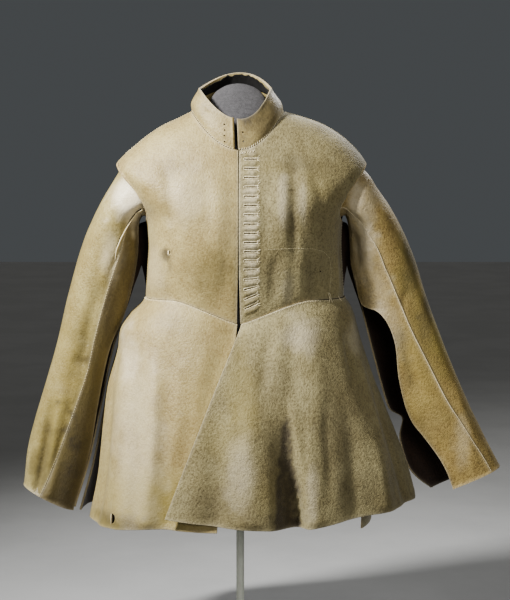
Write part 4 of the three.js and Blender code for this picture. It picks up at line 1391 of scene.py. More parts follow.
@dataclass
class Skirts:
    """The four skirt panels, hung from the waist."""

    palette: Palette
    rows: int = 124
    vent_gap: float = 9.0

    def vent(self, surface: Surface, angle: float, towards: int, gap: float) -> Array:
        """The angles of a vent's edge: half a seam's gap at the waist, and apart at the hem."""
        drop = graded(self.rows, 0.3)
        length = mix(SEAM_GAP / 2, gap, drop**2)
        return angle + towards * across(surface, -drop, np.full_like(drop, angle), length, 0.4)

    def panel(self, name: str, edges: Edges, columns: int, relief: Relief, waist: float) -> Panel:
        """Works out a skirt.

        Args:
            name: its node.
            edges: a function of the drops and the surface that gives the edges' angles.
            columns: points across.
            relief: its creases, stains, and painted shade and highlights.
            waist: how far the waist's edge lifts.

        Returns:
            The panel.
        """
        drop = graded(self.rows, 0.3)
        surface = skirt_surface(name)
        place = (surface, (0.01, 0.4, 1.0), -drop, *edges(drop, surface))
        lifts = {Edge.START: heights((-190, waist), (190, waist))}
        return Panel("leather_" + name, *place, columns, BODY_WALL, relief, lifts)

    def build(self) -> Made:
        """Builds the four pieces."""
        share = lambda drop: ramp(TUCK_FROM, TUCK_FULL, drop) / ramp(TUCK_FROM, TUCK_FULL, 1)
        tuck = lambda drop: TUCK_DEGREES * share(drop)
        vent, gap = self.vent, self.vent_gap
        plans = {
            "skirt_front_right": (
                lambda drop, s: (vent(s, -SIDE, 1, gap), skirt_angle(UNDER_EDGE, drop)),
                112, SKIRT_FRONT_RIGHT_RELIEF, 0.4, "body",
            ),
            "skirt_front_left": (
                lambda drop, s: (skirt_angle(LAP_EDGE, drop), vent(s, SIDE, -1, 4.0)),
                236, SKIRT_FRONT_LEFT_RELIEF, 1.5, "nap",
            ),
            "skirt_back_left": (
                lambda drop, s: (vent(s, SIDE, 1, 0.0) - tuck(drop), vent(s, BACK, -1, gap)),
                104, SKIRT_BACK_RELIEF, 1.2, "nap",
            ),
            "skirt_back_right": (
                lambda drop, s: (vent(s, -SIDE, -1, gap), vent(s, -BACK, 1, gap)),
                104, SKIRT_BACK_RELIEF, 1.2, "body",
            ),
        }
        made = {}
        for name, (edges, columns, relief, waist, finish) in plans.items():
            panel = self.panel(name, edges, columns, relief, waist)
            piece = panel.build(self.palette.leather(finish))
            if name == "skirt_front_right":
                cut_hole(piece, HEM_RIP)
            made[name] = (panel, settle(piece, [name], "leather_" + finish))
        return made


@dataclass
class Sleeve:
    """One sleeve: an outer and an inner piece, joined by the seam that runs down its front."""

    side: str
    sections: Table
    edges: Table
    relief: Relief
    palette: Palette
    rows: int = 150
    tuck: tuple[tuple[float, ...], ...] = ((0, 1.08, BODY_WALL + 3.5), (14, 0.95, BODY_WALL + 3.8))
    head_along: float = 26.0
    head_share: float = 0.35
    underarm: tuple[float, float] = (0.78, -3.5)

    @property
    def sign(self) -> int:
        """1 for the left sleeve, -1 for the right."""
        return 1 if self.side == "left" else -1

    def armhole_point(self, turn: Array, scale: float, depth: float) -> Array:
        """A point of the armhole's outline, scaled about its middle, at a depth under the body."""
        sine, cosine = circle(turn)
        reach = np.where(cosine > 0, ARMHOLE_FRONT, ARMHOLE_BACK)
        row = ARMHOLE_ROW + ARMHOLE_HEIGHT * scale * sine
        return body_under(row, self.sign * (SIDE - reach * scale * cosine), depth + 0 * row)

    def section_points(self, turn: Array) -> Array:
        """The points of all the sleeve's own sections at a turn, one block for each section."""
        shape = (-1,) + (1,) * turn.ndim
        at = {key: column.reshape(shape) for key, column in self.sections.items()}
        sine, cosine = circle(turn[None])
        power, tilt = 2 / at["square"], np.radians(at["tilt"])
        reach = at["halfWidth"] * signed_power(sine, power)
        depth = np.where(cosine > 0, at["front"], at["back"]) * signed_power(cosine, power)
        x = self.sign * (at["x"] + reach * np.cos(tilt))
        return np.stack([x, at["y"] - depth, WAIST_Z + at["z"] + reach * np.sin(tilt)], -1)

    def surface(self, up: Array, turn: Array) -> Array:
        """The sleeve: lines from under the armhole's edge through all its sections."""
        up, turn = np.broadcast_arrays(np.asarray(up, float), np.asarray(turn, float))
        tucked = [self.armhole_point(turn, scale, depth) for _, scale, depth in self.tuck]
        own = self.section_points(turn)
        under = ramp(0.05, 0.75, -np.sin(np.radians(turn)))[..., None]
        over = mix(tucked[1], own[0], self.head_share)
        head = mix(over, self.armhole_point(turn, *self.underarm), under)
        line = np.concatenate([np.stack([*tucked, head]), own])
        starts = [along for along, _, _ in self.tuck]
        keys = np.array([*starts, self.head_along, *self.sections["along"]])
        return np.stack([curve(keys, line[..., axis], -up) for axis in range(3)], -1)

    def panel(self, part: str, first: str, last: str, columns: int) -> Panel:
        """Works out one of the sleeve's pieces.

        Args:
            part: main or inner.
            first: the edge table's column for its first edge.
            last: the same for its last edge.
            columns: points across.

        Returns:
            The panel.
        """
        along = self.sections["along"][-1] * graded(self.rows, 0.4)
        edge = {key: curve(self.edges["along"], self.edges[key], along) for key in (first, last)}
        gap = across(self.surface, -along, edge["seam"], SLEEVE_SEAM_GAP / 2, 1.0)
        edge[first] = edge[first] + (gap if first == "seam" else 0)
        edge[last] = edge[last] - (gap if last == "seam" else 0)
        seam = heights((-620, 0.7), (-60, 0.7), (-25, 0.4), (0, 0))
        free = heights((-620, 1.0), (-200, 1.4), (-40, 0.6), (0, 0))
        cuff = heights((-100, 0.8), (0, 1.4), (90, 0.6), (180, 1.2), (270, 0.5))
        lifts = {
            Edge.FIRST: seam if first == "seam" else free,
            Edge.LAST: seam if last == "seam" else free,
            Edge.END: cuff,
        }
        name = f"leather_sleeve_{self.side}_{part}"
        place = (self.surface, (1.0, 1.0, float(self.sign)), -along, edge[first], edge[last])
        return Panel(name, *place, columns, SLEEVE_WALL, self.relief, lifts, 3.6)

    def build(self) -> Made:
        """Builds both pieces."""
        made = {}
        parts = (("main", "seam", "opening", 96), ("inner", "free", "seam", 30))
        for part, first, last, columns in parts:
            panel = self.panel(part, first, last, columns)
            node = f"sleeve_{self.side}_{part}"
            # The right sleeve's inner piece takes the darker copy of its leather: painted shade.
            shaded = part == "inner" and self.side == "right"
            finish = "sleeve_shaded" if shaded else "sleeve_" + self.side
            piece = panel.build(self.palette.leather(finish))
            made[node] = (panel, settle(piece, [node], "leather_sleeve"))
        return made


@dataclass
class WorkedSlits:
    """The worked slits down the left front: two laid cords, end bars and thread over them."""

    palette: Palette
    front: Panel
    cord_apart: float = 1.9
    cord_radius: float = 0.8
    pitch: float = 2.1

    def place(self, number: int, u: Array, v: Array, lift: Array) -> tuple[Array, Array]:
        """Points on the left front in a slit's own level and upright directions.

        Args:
            number: which slit, from 0 at the top.
            u: along the slit.
            v: across it.
            lift: over the leather.

        Returns:
            Points and normals.
        """
        tilt = slit_tilt(np.array(float(number)))
        x = SLIT_X + u * np.cos(tilt) - v * np.sin(tilt)
        z = SLIT_TOP - number * SLIT_PITCH + u * np.sin(tilt) + v * np.cos(tilt)
        base, normal = on_front(x, z)
        out = lift - self.front.relief.depth(base, normal)
        return base + normal * out[..., None], normal

    def slit(self, number: int) -> Piece:
        """Makes one worked slit.

        Args:
            number: which slit, from 0 at the top.

        Returns:
            The piece.
        """
        random = np.random.RandomState(100 + number)
        half = SLIT_LENGTH / 2 - 1.0
        trim = random.uniform(0, 3.2, (2, 2))
        u = mix(-half + trim[:, :1], half - 0.6 * trim[:, 1:], np.linspace(0, 1, 16)[None, :])
        wander = np.cumsum(random.normal(0, 0.16, (2, 16)), axis=1)
        wander = wander - wander.mean(axis=1, keepdims=True)
        v = np.array([[self.cord_apart], [-self.cord_apart]]) + wander
        cords, ups = self.place(number, u, v, np.full((2, 16), 0.35))
        thick = self.cord_radius * np.array([[1.0], [0.62]]) * random.uniform(0.7, 1.25, (2, 16))
        parts = [tubes(cords[k : k + 1], ups[k : k + 1, 8], thick[k : k + 1], 7) for k in range(2)]
        ends = np.array([[-half - 0.2], [half + 0.4]]) + random.normal(0, 0.3, (2, 6))
        reach = np.array([[1.6], [3.0]]) * random.uniform(0.75, 1.25, (2, 1))
        reach = reach * np.linspace(-1, 1, 6)[None, :]
        reach = reach + random.normal(0, 0.4, (2, 1))
        bars, ups = self.place(number, ends, reach, np.full((2, 6), 0.5))
        parts.append(tubes(bars, ups[:, 3], np.full((1, 6), 0.62), 7))
        fan = random.uniform(0.5, 1.1, 4)[:, None] * np.array([-3.4, -1.2, 1.3, 3.6])[:, None]
        out = half + 0.8 + np.linspace(0, 1, 4)[None, :] * random.uniform(2.2, 4.6, (4, 1))
        rays, ups = self.place(number, out, fan * (1 + 0.25 * (out - half)), np.full((4, 4), 0.3))
        parts.append(tubes(rays, ups[:, 1], np.full((1, 4), 0.48), 6))
        count = int(2 * half / self.pitch)
        start = np.linspace(-half + 1, half - 1, count)[:, None] + random.normal(0, 0.25, (count, 1))
        share = np.linspace(-1, 1, 5)[None, :]
        for way in (1, -1):
            over, ups = self.place(
                number,
                start + 0.5 * share,
                way * (self.cord_apart + 1.25 * share),
                0.9 - 0.9 * share**2,
            )
            parts.append(tubes(over, ups[:, 2], np.full((1, 5), 0.42), 5))
        thread_points, thread_faces = join(parts)
        # A dark strip between the cords, just over the leather: painted shade in the slit's opening.
        u, v = np.meshgrid(np.linspace(-half + 0.6, half - 0.6, 24), np.linspace(-1, 1, 4))
        v = v * (1 - (u / half) ** 4)
        dark, _ = self.place(number, u, v, np.full(u.shape, 0.25))
        gap = (dark.reshape(-1, 3), quads(4, 24).tolist())
        points, faces = join([(thread_points, thread_faces), gap])
        finishes = [self.palette["thread"], self.palette["shadow"]]
        piece = make_piece(f"worked_slit_{number + 1:02d}", points, faces, finishes)
        index = [0] * len(thread_faces) + [1] * (len(faces) - len(thread_faces))
        piece.data.polygons.foreach_set("material_index", index)
        return piece

    def build(self) -> list[Piece]:
        """Builds all the slits."""
        nodes = [f"fastening_{number + 1:02d}" for number in range(SLIT_COUNT)]
        return [settle(self.slit(i), [node], "thread") for i, node in enumerate(nodes)]


@dataclass
class Stitching:
    """The sewing: whipped neck and shoulders, run waist and sleeves, a patch, a tie and a darn."""

    palette: Palette
    panels: Made

    def sew(self, name: str, parts: list[tuple[Array, list]]) -> Piece:
        """Makes one seam's thread."""
        points, faces = join(parts)
        return settle(make_piece(name, points, faces, [self.palette["thread"]]), [], "thread")

    def seam(
        self, node: str, edge: Edge, inset: float, stitch: Stitch, *span: float
    ) -> tuple[Array, list]:
        """Stitches beside a panel's edge, over a span of it or all of it."""
        return stitch.along(*self.panels[node][0].line(edge, inset, *span), seed=len(node))

    def patch(self) -> tuple[Array, list]:
        """The fine stitches round the piece let into the left front."""
        corners = table(
            "x z", [(52, 106), (95, 107), (132, 105), (150, 99), (160, 86), (163, 60), (160, 20)]
        ).values()
        x, z = (np.interp(np.linspace(0, 6, 60), np.arange(7), line) for line in corners)
        base, normal = on_front(x, z)
        return FINE.along(base - normal * FRONT_LEFT_RELIEF.depth(base, normal)[:, None], normal)

    def tie(self) -> tuple[Array, list]:
        """The loose thread ends left at the waist on the left."""
        x = [[157, 157, 158, 157, 156], [159, 160, 160, 162, 163], [175, 176, 178, 181, 184]]
        z = np.array([[24, 18, 12, 4, -2], [23, 17, 10, 5, 3], [14, 9, 5, 0, -6]], float)
        base, normal = on_front(np.array(x, float), np.maximum(z, 1))
        points = base + normal * np.array([0.5, 2.5, 4, 4, 3.5])[:, None]
        points[..., 2] = WAIST_Z + z
        return tubes(points, normal[:, 2], np.full((1, 5), 0.6), 6)

    def darn(self) -> tuple[Array, list]:
        """The dense small stitches in the left front's corner under the collar."""
        random = np.random.RandomState(77)
        x = np.linspace(3, 27, 13)[:, None] + np.array([[-1.2, 0, 1.2]])
        x = x + random.normal(0, 0.5, (13, 1))
        z = 279 + 0.12 * x + np.array([[-3.2, 0, 3.2]]) * random.uniform(0.6, 1.1, (13, 1))
        base, normal = on_front(x, z)
        lift = 0.5 - FRONT_LEFT_RELIEF.depth(base, normal)
        return tubes(base + normal * lift[..., None], normal[:, 1], np.full((1, 3), 0.5), 6)

    def seam_shade(self) -> Piece:
        """Painted shade in the neck seam and the left waist seam: a thin dark cord sunk in them."""
        parts = []
        for node, (start, end, radius) in SHADED_SEAMS.items():
            points, normals = self.panels[node][0].line(Edge.START, 0.0, start, end)
            middle = normals[len(normals) // 2]
            parts.append(tubes(points[None], middle[None], np.full((1, 1), radius), 6))
        points, faces = join(parts)
        piece = make_piece("seam_shade_line", points, faces, [self.palette["shadow"]])
        return settle(piece, [], "thread")

    def head_seam(self) -> None:
        """The sleeves' front seams: a pale turned edge, the right one with a dark line of painted
        shade above it.
        """
        ups = np.broadcast_to(TO_FRONT, HEAD_SEAM.shape)
        head = resample(HEAD_SEAM, ups, 4.0)[0] + WAIST_Z * UPRIGHT
        left, _ = self.panels["sleeve_left_main"][0].line(Edge.FIRST, 0.0)
        for name, path, shift, finish, radius in (
            ("head_seam", head, (0.4, -1.9, -0.4), "torn", 1.15),
            ("head_shade", head, (-1.5, -1.0, 1.5), "shadow", 0.8),
            ("left_seam", left, (0.0, -1.0, 0.6), "torn", 0.75),
        ):
            path = path + np.array(shift)
            taper = radius * np.minimum(1.0, 0.25 + 3.0 * np.linspace(1, 0, len(path)))
            points, faces = tubes(path[None], TO_FRONT[None], taper[None], 8)
            settle(make_piece(name, points, faces, [self.palette[finish]]), [], "thread")

    def build(self) -> None:
        """Builds every seam."""
        self.seam_shade()
        self.head_seam()
        collar = self.panels["collar"][0]
        self.sew("thread_neck", [WHIP.along(*collar.line(Edge.START, 1.0), seed=3)])
        fronts = ("body_front_left", "body_front_right")
        shoulders = [self.seam(node, Edge.LAST, 0.8, WHIP, 0.72) for node in fronts]
        self.sew("thread_shoulders", shoulders)
        self.sew("thread_patch", [self.patch()])
        self.sew("thread_tie", [self.tie()])
        self.sew("thread_darn", [self.darn()])
        skirts = ("skirt_front_left", "skirt_front_right", "skirt_back_left", "skirt_back_right")
        self.sew("thread_waist", [self.seam(node, Edge.START, 2.0, RUNNING) for node in skirts])
        for side in ("left", "right"):
            sleeve, flank = f"sleeve_{side}_main", "body_front_" + side
            self.sew(f"thread_sleeve_{side}", [self.seam(sleeve, Edge.FIRST, 0.9, RUNNING, 0.03)])
            self.sew(f"thread_side_{side}", [self.seam(flank, Edge.LAST, 1.2, RUNNING, 0.0, 0.28)])


# ---- holes that wear has made ----------------------------------------------------------------


@dataclass(frozen=True)
class Hole:
    """A D-shaped hole worn through a panel: its middle, its size and the way it faces."""

    x: float
    y: float
    z: float
    width: float
    height: float
    turn: float

    @property
    def middle(self) -> Array:
        """The hole's middle in the frame."""
        return np.array([self.x, self.y, WAIST_Z + self.z])

    @property
    def side(self) -> Array:
        """The level way across the hole."""
        turn = math.radians(self.turn)
        return np.array([math.cos(turn), math.sin(turn), 0.0])

    @property
    def out(self) -> Array:
        """The way that the hole faces."""
        return np.array([self.side[1], -self.side[0], 0.0])

    def at(self, level: Array, upright: Array, out: Array | float = 0.0) -> Array:
        """Points by how far they lie across, up and out from the hole's middle."""
        ways = zip((level, upright, np.asarray(out)), (self.side, UPRIGHT, self.out))
        return self.middle + sum(far[..., None] * way for far, way in ways)

    def outline(self, steps: int = 7) -> Array:
        """The D as level and upright offsets: a straight side and two quadratic curves."""
        w, h, t = self.width, self.height, np.linspace(0, 1, steps)[:, None]
        bend = lambda a, b, c: (1 - t) ** 2 * a + 2 * t * (1 - t) * b + t**2 * c
        start, belly, end = np.array([[-w / 2, -h / 2], [w / 2, h / 3], [-w / 2, h / 2]])
        lower = bend(start, np.array([w * 0.9, -h * 0.35]), belly)
        upper = bend(belly, np.array([w * 0.2, h * 0.6]), end)
        return np.concatenate([lower, upper[1:]])

    def cutter(self, reach: float = 30.0) -> tuple[Array, list]:
        """A plug with the D for its section, carried through the wall."""
        level, upright = self.outline().T
        points = np.concatenate([self.at(level, upright, out) for out in (reach, -reach)])
        return points, closed_rings(2, len(level))


CHEST_TEAR = Hole(-137, -118, 98, 5, 7, -35)
HEM_RIP = Hole(-217, -140, -388, 14, 18, -52)


def cut_hole(piece: Piece, hole: Hole) -> None:
    """Cuts a hole through a finished panel, with the cut edge's finish inside it."""
    points, faces = hole.cutter()
    cutter = make_piece("cutter", points, faces, list(piece.data.materials))
    cutter.data.polygons.foreach_set("material_index", [2] * len(faces))
    if sum(p.area * p.normal.dot(p.center) for p in cutter.data.polygons) < 0:
        cutter.data.flip_normals()
    cut = piece.modifiers.new("hole", "BOOLEAN")
    cut.operation, cut.solver, cut.object = "DIFFERENCE", "EXACT", cutter
    apply_modifiers(piece)
    bpy.data.objects.remove(cutter)


@dataclass
class Flap:
    """The tongue of leather that still hangs beside a hole."""

    hole: Hole
    surface: Surface
    up: tuple[float, float]
    share: float
    curl: float
    palette: Palette

    def build(self, name: str) -> Piece:
        """Makes the tongue: a patch that starts at the D's straight side and curls out over it.

        Args:
            name: the piece's name.

        Returns:
            The piece.
        """
        hole = self.hole
        u, v = np.meshgrid(np.linspace(0, 1, 12), np.linspace(-1, 1, 14))
        reach = hole.width * self.share * np.sqrt(np.maximum(0, 1 - v**2 * 0.92))
        level = -hole.width / 2 - 0.5 + reach * np.sin(u * self.curl) / self.curl
        lift = reach * (1 - np.cos(u * self.curl)) / self.curl + 0.5
        points = hole.at(level, v * hole.height * 0.5, lift + self.surface_offset())
        piece = make_piece(name, points, quads(14, 12).tolist(), [self.palette["torn"]] * 3)
        thicken(piece, 1.6)
        return piece

    def shade_behind(self, name: str) -> Piece:
        """Makes painted shade behind the hole: a small dark flat patch just inside the wall."""
        u, v = np.meshgrid(np.linspace(-0.75, 0.75, 4), np.linspace(-0.75, 0.75, 4))
        behind = self.surface_offset() - BODY_WALL - 0.8
        points = self.hole.at(u * self.hole.width, v * self.hole.height, behind)
        return make_piece(name, points, quads(4, 4).tolist(), [self.palette["shadow"]])

    def surface_offset(self) -> float:
        """The distance from the hole's middle to the panel along the way that it faces."""
        ups, turns = np.linspace(*self.up, 160), np.linspace(-85, -20, 160)
        up, turn = np.meshgrid(ups, turns, indexing="ij")
        places = self.surface(up, turn) - self.hole.middle
        along = places @ self.hole.out
        aside = np.linalg.norm(places - along[..., None] * self.hole.out, axis=-1)
        return float(along.ravel()[np.argmin(aside)])


TAPER_FILL = 0.6


@dataclass
class Underarm:
    """A web of leather under an arm, from the sleeve's opening to the body's side.

    It stands for the sleeve's back and for the shade in the gap, and its dark colour is painted
    shade.
    """

    palette: Palette
    sleeve: Panel
    sign: int
    top: float = 190.0
    behind: float = 4.0

    def build(self) -> tuple[Piece, tuple[float, float], float]:
        """Makes the web: a ruled surface between the two, its lower edge rising to a point.

        Returns:
            The piece, its flat width and length in metres, and its area.
        """
        across_web, down = np.meshgrid(np.linspace(0, 1, 22), np.linspace(0, 1, 30), indexing="ij")
        low = np.interp(across_web, [0, 0.12, 0.4, 0.7, 1], [-25, 25, 66, 45, 14])
        height = WAIST_Z + mix(self.top, low, down)
        slit = self.sleeve.line(Edge.LAST, 0.0)[0][::-1]
        rows = body_rows(BODY_ROWS)
        angle = np.full(len(rows), self.sign * (SIDE + self.behind))
        base, normal = placed(body_point, rows, angle)
        flank = base - 1.2 * normal
        at = lambda line, axis: np.interp(height, line[:, 2], line[:, axis])
        along = lambda line: np.stack([at(line, axis) for axis in range(3)], -1)
        points = mix(along(slit), along(flank), across_web[..., None])
        points[..., 2] = height
        points[..., 1] += 5.0 * np.sin(np.pi * across_web) + 1.5 * soft_noise(points, 18, 61)
        name = "underarm_left" if self.sign > 0 else "underarm_right"
        piece = make_piece(name, points, quads(22, 30).tolist(), [self.palette["inside"]])
        thicken(piece, 2.0)
        length = float(np.linalg.norm(np.diff(points, axis=1), axis=-1).sum(axis=1).max()) * MM
        corners = np.cross(points[1:, 1:] - points[:-1, :-1], points[1:, :-1] - points[:-1, 1:])
        area = 0.5 * float(np.linalg.norm(corners, axis=-1).sum()) * MM * MM
        width = area / length / TAPER_FILL
        return piece, (round(width, 3), round(length, 3)), round(area, 4)


# ---- dress form and stand --------------------------------------------------------------------


@dataclass
class DressForm:
    """The limbless form that wears the coat: a torso, and a neck with a tilted cap."""

    palette: Palette
    gap: float = 2.6
    armhole_room: tuple[float, float, float] = (22.0, 1.1, 2.0)
    ease: float = 5.0
    columns: int = 128
    foot_z: float = -150.0
    neck: Table = field(
        default_factory=lambda: table(
            "halfWidth front back low high",
            [
                (66, 64, 50, 300, 376), (55, 53, 44, 318, 388), (53, 51, 42, 336, 404),
                (46, 44, 36, 347, 409), (26, 25, 20, 366, 403),
            ],
        )
    )

    def torso(self, angle: Array) -> Array:
        """Rings close under the coat, with room at the armholes and ease down the body."""
        row = np.linspace(0, NECK_ROW, 46)[:, None]
        turned = np.where(angle > BACK, 2 * BACK - angle, angle)
        reach = np.where(turned < SIDE, ARMHOLE_FRONT, ARMHOLE_BACK)
        away = np.hypot((row - ARMHOLE_ROW) / ARMHOLE_HEIGHT, (turned - SIDE) / reach)
        room, near, far = self.armhole_room
        depth = BODY_WALL + self.gap + room * (1 - ramp(near, far, away))
        depth = depth + self.ease * (1 - ramp(1, 6, row))
        return body_under(row + 0 * angle, angle + 0 * row, depth)

    def ring(
        self, half: float, front: float, back: float, shift: float, height: Array, angle: Array
    ) -> Array:
        """An ellipse, deeper in front, at a height for each angle."""
        sine, cosine = circle(angle)
        y = -np.where(cosine > 0, front, back) * cosine
        return np.stack([shift + half * sine, y, WAIST_Z + height], -1)

    def build(self) -> Piece:
        """Makes the form: rings eased into each other from foot to cap, closed at both ends."""
        angle = np.linspace(0, 360, self.columns, endpoint=False)
        cosine = np.cos(np.radians(angle))
        foot = [
            self.ring(size, size * 0.65, size * 0.575, 4, self.foot_z + rise + 0 * angle, angle)
            for size, rise in ((152, 0), (158, 2), (160, 8), (160, 60))
        ]
        neck = [
            self.ring(half, front, back, -3, mix(high, low, 0.5 + 0.5 * cosine), angle)
            for half, front, back, low, high in zip(*self.neck.values())
        ]
        neck.append(self.ring(8, 8, 6, -3, mix(394, 382, 0.5 + 0.5 * cosine), angle))
        keys = np.stack([*foot, *self.torso(angle), *neck])
        at = np.linspace(0, len(keys) - 1, 2 * len(keys) - 1)
        at = np.broadcast_to(at[:, None], (len(at), self.columns))
        spread = np.broadcast_to(keys[:, None], (len(keys), *at.shape, 3))
        index = np.arange(len(keys))
        points = np.stack([curve(index, spread[..., axis], at) for axis in range(3)], -1)
        faces = closed_rings(len(points), self.columns)
        piece = make_piece("dress_form", points, faces, [self.palette["form"]])
        return settle(piece, ["form_torso"], "form_cloth")


@dataclass
class Stand:
    """The round base and the pole, turned on the same axis."""

    palette: Palette
    base_radius: float = 165.0
    base_thickness: float = 10.0
    pole_radius: float = 7.5
    foot_radius: float = 20.0
    flange_radius: float = 45.0
    head: float = WAIST_Z - 150.3

    def build(self) -> None:
        """Builds the base and the pole."""
        r, t = self.base_radius, self.base_thickness
        arc = np.linspace(0, np.pi / 2, 6)
        edge = [(r - 2.5 + 2.5 * math.cos(a), t - 2.5 + 2.5 * math.sin(a)) for a in arc]
        points, faces = lathe([(2, 0), (r - 1, 0), (r, 1), *edge, (r - 60, t), (2, t)], 128)
        base = make_piece("round_base", points, faces, [self.palette["paint"]])
        settle(base, ["stand_base"], "stand_paint")
        foot, f = t + 0.3, self.foot_radius
        profile = [(2, foot), (f - 1, foot), (f, foot + 1), (f, foot + 10), (f - 2, foot + 12)]
        profile += [(self.pole_radius + 1, foot + 18), (self.pole_radius, foot + 21)]
        profile += [(self.pole_radius, self.head - 15), (self.pole_radius + 2, self.head - 13)]
        profile += [(self.flange_radius - 1, self.head - 6.5), (self.flange_radius, self.head - 5)]
        profile += [(self.flange_radius, self.head), (2, self.head)]
        points, faces = lathe(profile, 48)
        pole = make_piece("stand_tube", points, faces, [self.palette["paint"]])
        settle(pole, ["stand_pole"], "stand_paint")


# ---- creases, stains, and painted shade and highlights of each piece -------------------------

FRONT_RIGHT_RELIEF = Relief(
    creases={
        View.FRONT: [
            (-138, 280, -122, 140, 11, 9, 2.2), (-102, 265, -98, 110, 18, 16, -2.2),
            (-62, 255, -54, 110, 14, 14, 1.8), (-156, 85, -118, -5, 14, 10, 1.8),
            (-30, 120, -27, 5, 12, 8, 1.6), (-90, 70, -70, -15, 16, 14, -1.5),
            (-160, 200, -168, 60, 10, 12, 1.5),
        ],
        View.RIGHT: [(-35, 135, -28, 15, 9, 8, 2.2)],
    },
    soil_and_shade={
        View.FRONT: [
            (-24, 150, 20, 110, 0.3), (-55, 60, 60, 60, 0.28), (-134, 94, 13, 15, 0.95),
            (-127, 74, 7, 20, 0.35), (-120, 250, 40, 25, 0.16), (-150, 24, 30, 22, 0.2),
        ],
    },
    wear={View.FRONT: [(-95, 200, 50, 70, 0.22), (-160, 60, 30, 60, 0.15)]},
    gold={View.FRONT: [(-50, 70, 60, 60, 0.25), (-25, 200, 20, 70, 0.2)]},
    wave=0.5, seed=3,
)
FRONT_LEFT_RELIEF = Relief(
    creases={
        View.FRONT: [
            (96, 285, 104, 60, 10, 6, 3.8), (76, 265, 80, 85, 13, 12, -2.6),
            (126, 275, 166, 130, 9, 8, 1.6), (114, 275, 140, 110, 12, 13, -1.8),
            (146, 190, 150, 80, 8, 9, 1.6), (66, 110, 58, 0, 8, 9, 2.2),
            (88, 95, 76, -10, 10, 10, -2.4), (128, 120, 134, 5, 8, 8, 3.0),
            (110, 110, 112, 0, 10, 9, -2.2), (49, 235, 46, 90, 9, 9, 1.8),
            (90, 290, 120, 236, 9, 8, 1.0), (154, 120, 158, 20, 7, 8, 2.0),
        ],
        View.LEFT: [(-38, 150, -30, 0, 9, 8, 2.6), (-58, 100, -60, 10, 8, 8, -2)],
    },
    soil_and_shade={
        View.FRONT: [
            (100, 262, 44, 22, 0.3), (152, 250, 34, 30, 0.25), (101, 165, 9, 90, 0.3),
            (60, 55, 22, 50, 0.2), (130, 55, 16, 40, 0.22), (8, 150, 9, 140, 0.3),
            (160, 110, 18, 90, 0.2),
        ],
    },
    wear={
        View.FRONT: [
            (80, 195, 12, 60, 0.3), (88, 30, 12, 34, 0.2), (22, 150, 16, 160, 0.35),
            (116, 190, 8, 50, 0.25),
        ],
    },
    gold={View.FRONT: [(145, 235, 40, 60, 0.2), (60, 255, 40, 20, 0.15)]},
    wave=0.5, seed=7, pillows=True,
)
BACK_RELIEF = Relief(
    creases={
        View.BACK: [
            (-112, 285, -88, 120, 11, 9, 3.0), (-62, 240, -50, 70, 13, 12, -2.4),
            (-20, 270, -14, 150, 10, 12, 2.2), (38, 250, 54, 90, 12, 9, 3.2),
            (90, 250, 98, 120, 12, 12, -2.6), (122, 262, 106, 130, 8, 9, 2.8),
            (-96, 90, -110, 10, 9, 12, 2.6), (4, 80, 12, -5, 12, 10, 2.2),
            (84, 70, 74, 0, 9, 9, 2.4),
        ],
        View.LEFT: [(38, 130, 30, 15, 9, 8, 2.4)],
        View.RIGHT: [(30, 130, 40, 20, 9, 8, 2.4)],
    },
    soil_and_shade={View.BACK: [(-70, 230, 60, 30, 0.25), (60, 60, 50, 60, 0.25), (-120, 120, 30, 60, 0.2)]},
    wear={View.BACK: [(-50, 140, 40, 80, 0.2), (80, 200, 40, 50, 0.2)]},
    gold={View.BACK: [(20, 120, 70, 90, 0.2)]},
    wave=0.7, seed=13,
)
COLLAR_RELIEF = Relief(
    creases={
        View.FRONT: [(-70, 372, -48, 352, 6, 6, 1.2), (40, 372, 52, 345, 6, 6, 1.4)],
        View.BACK: [(-34, 425, -30, 385, 7, 6, 1.4), (28, 420, 38, 385, 7, 7, 1.2)],
    },
    soil_and_shade={
        View.FRONT: [
            # (34, 358) and (8, 346) darken the collar's wearer-left half: painted shade.
            (-52, 384, 9, 6, 0.35), (-30, 366, 10, 7, 0.2), (34, 358, 60, 64, 0.72),
            (8, 346, 22, 40, 0.4), (-50, 365, 40, 40, 0.2),
        ],
    },
    gold={View.FRONT: [(30, 360, 40, 30, 0.25)]},
    wave=0.6, seed=17,
)
SKIRT_FRONT_RIGHT_RELIEF = Relief(
    creases={
        View.FRONT: [
            (-150, -5, -168, -520, 17, 11, -5.5), (-128, -40, -140, -480, 13, 18, 4.0),
            (-184, -50, -200, -470, 13, 12, 3.0), (-212, -60, -232, -480, 12, 14, -3.0),
            (-92, -90, -112, -460, 14, 14, 2.4), (-60, -60, -84, -260, 14, 16, -1.8),
            (-120, -20, -100, -110, 12, 12, 1.6),
        ],
        View.RIGHT: [(-60, -40, -90, -480, 13, 11, 4.0), (-30, -80, -44, -480, 12, 14, -3.0)],
    },
    soil_and_shade={
        View.FRONT: [
            (-215, -392, 70, 20, 0.6), (-150, -398, 60, 18, 0.4), (-228, -40, 22, 40, 0.3),
            # (-74, -424) darkens the hem where the left front laps over it: painted shadow.
            (-70, -90, 40, 70, 0.16), (-120, -30, 40, 20, 0.15), (-74, -424, 58, 20, 1.5),
        ],
    },
    # (-185, -230) lightens the band that faces the key light: partly wear, partly a painted
    # highlight.
    wear={View.FRONT: [(-185, -230, 60, 210, 0.3), (-205, -90, 26, 60, 0.25)]},
    gold={
        View.FRONT: [
            (-230, -400, 60, 16, 0.8), (-150, -350, 110, 70, 0.8), (-60, -140, 60, 110, 0.25),
        ],
    },
    wave=0.6, seed=19,
)
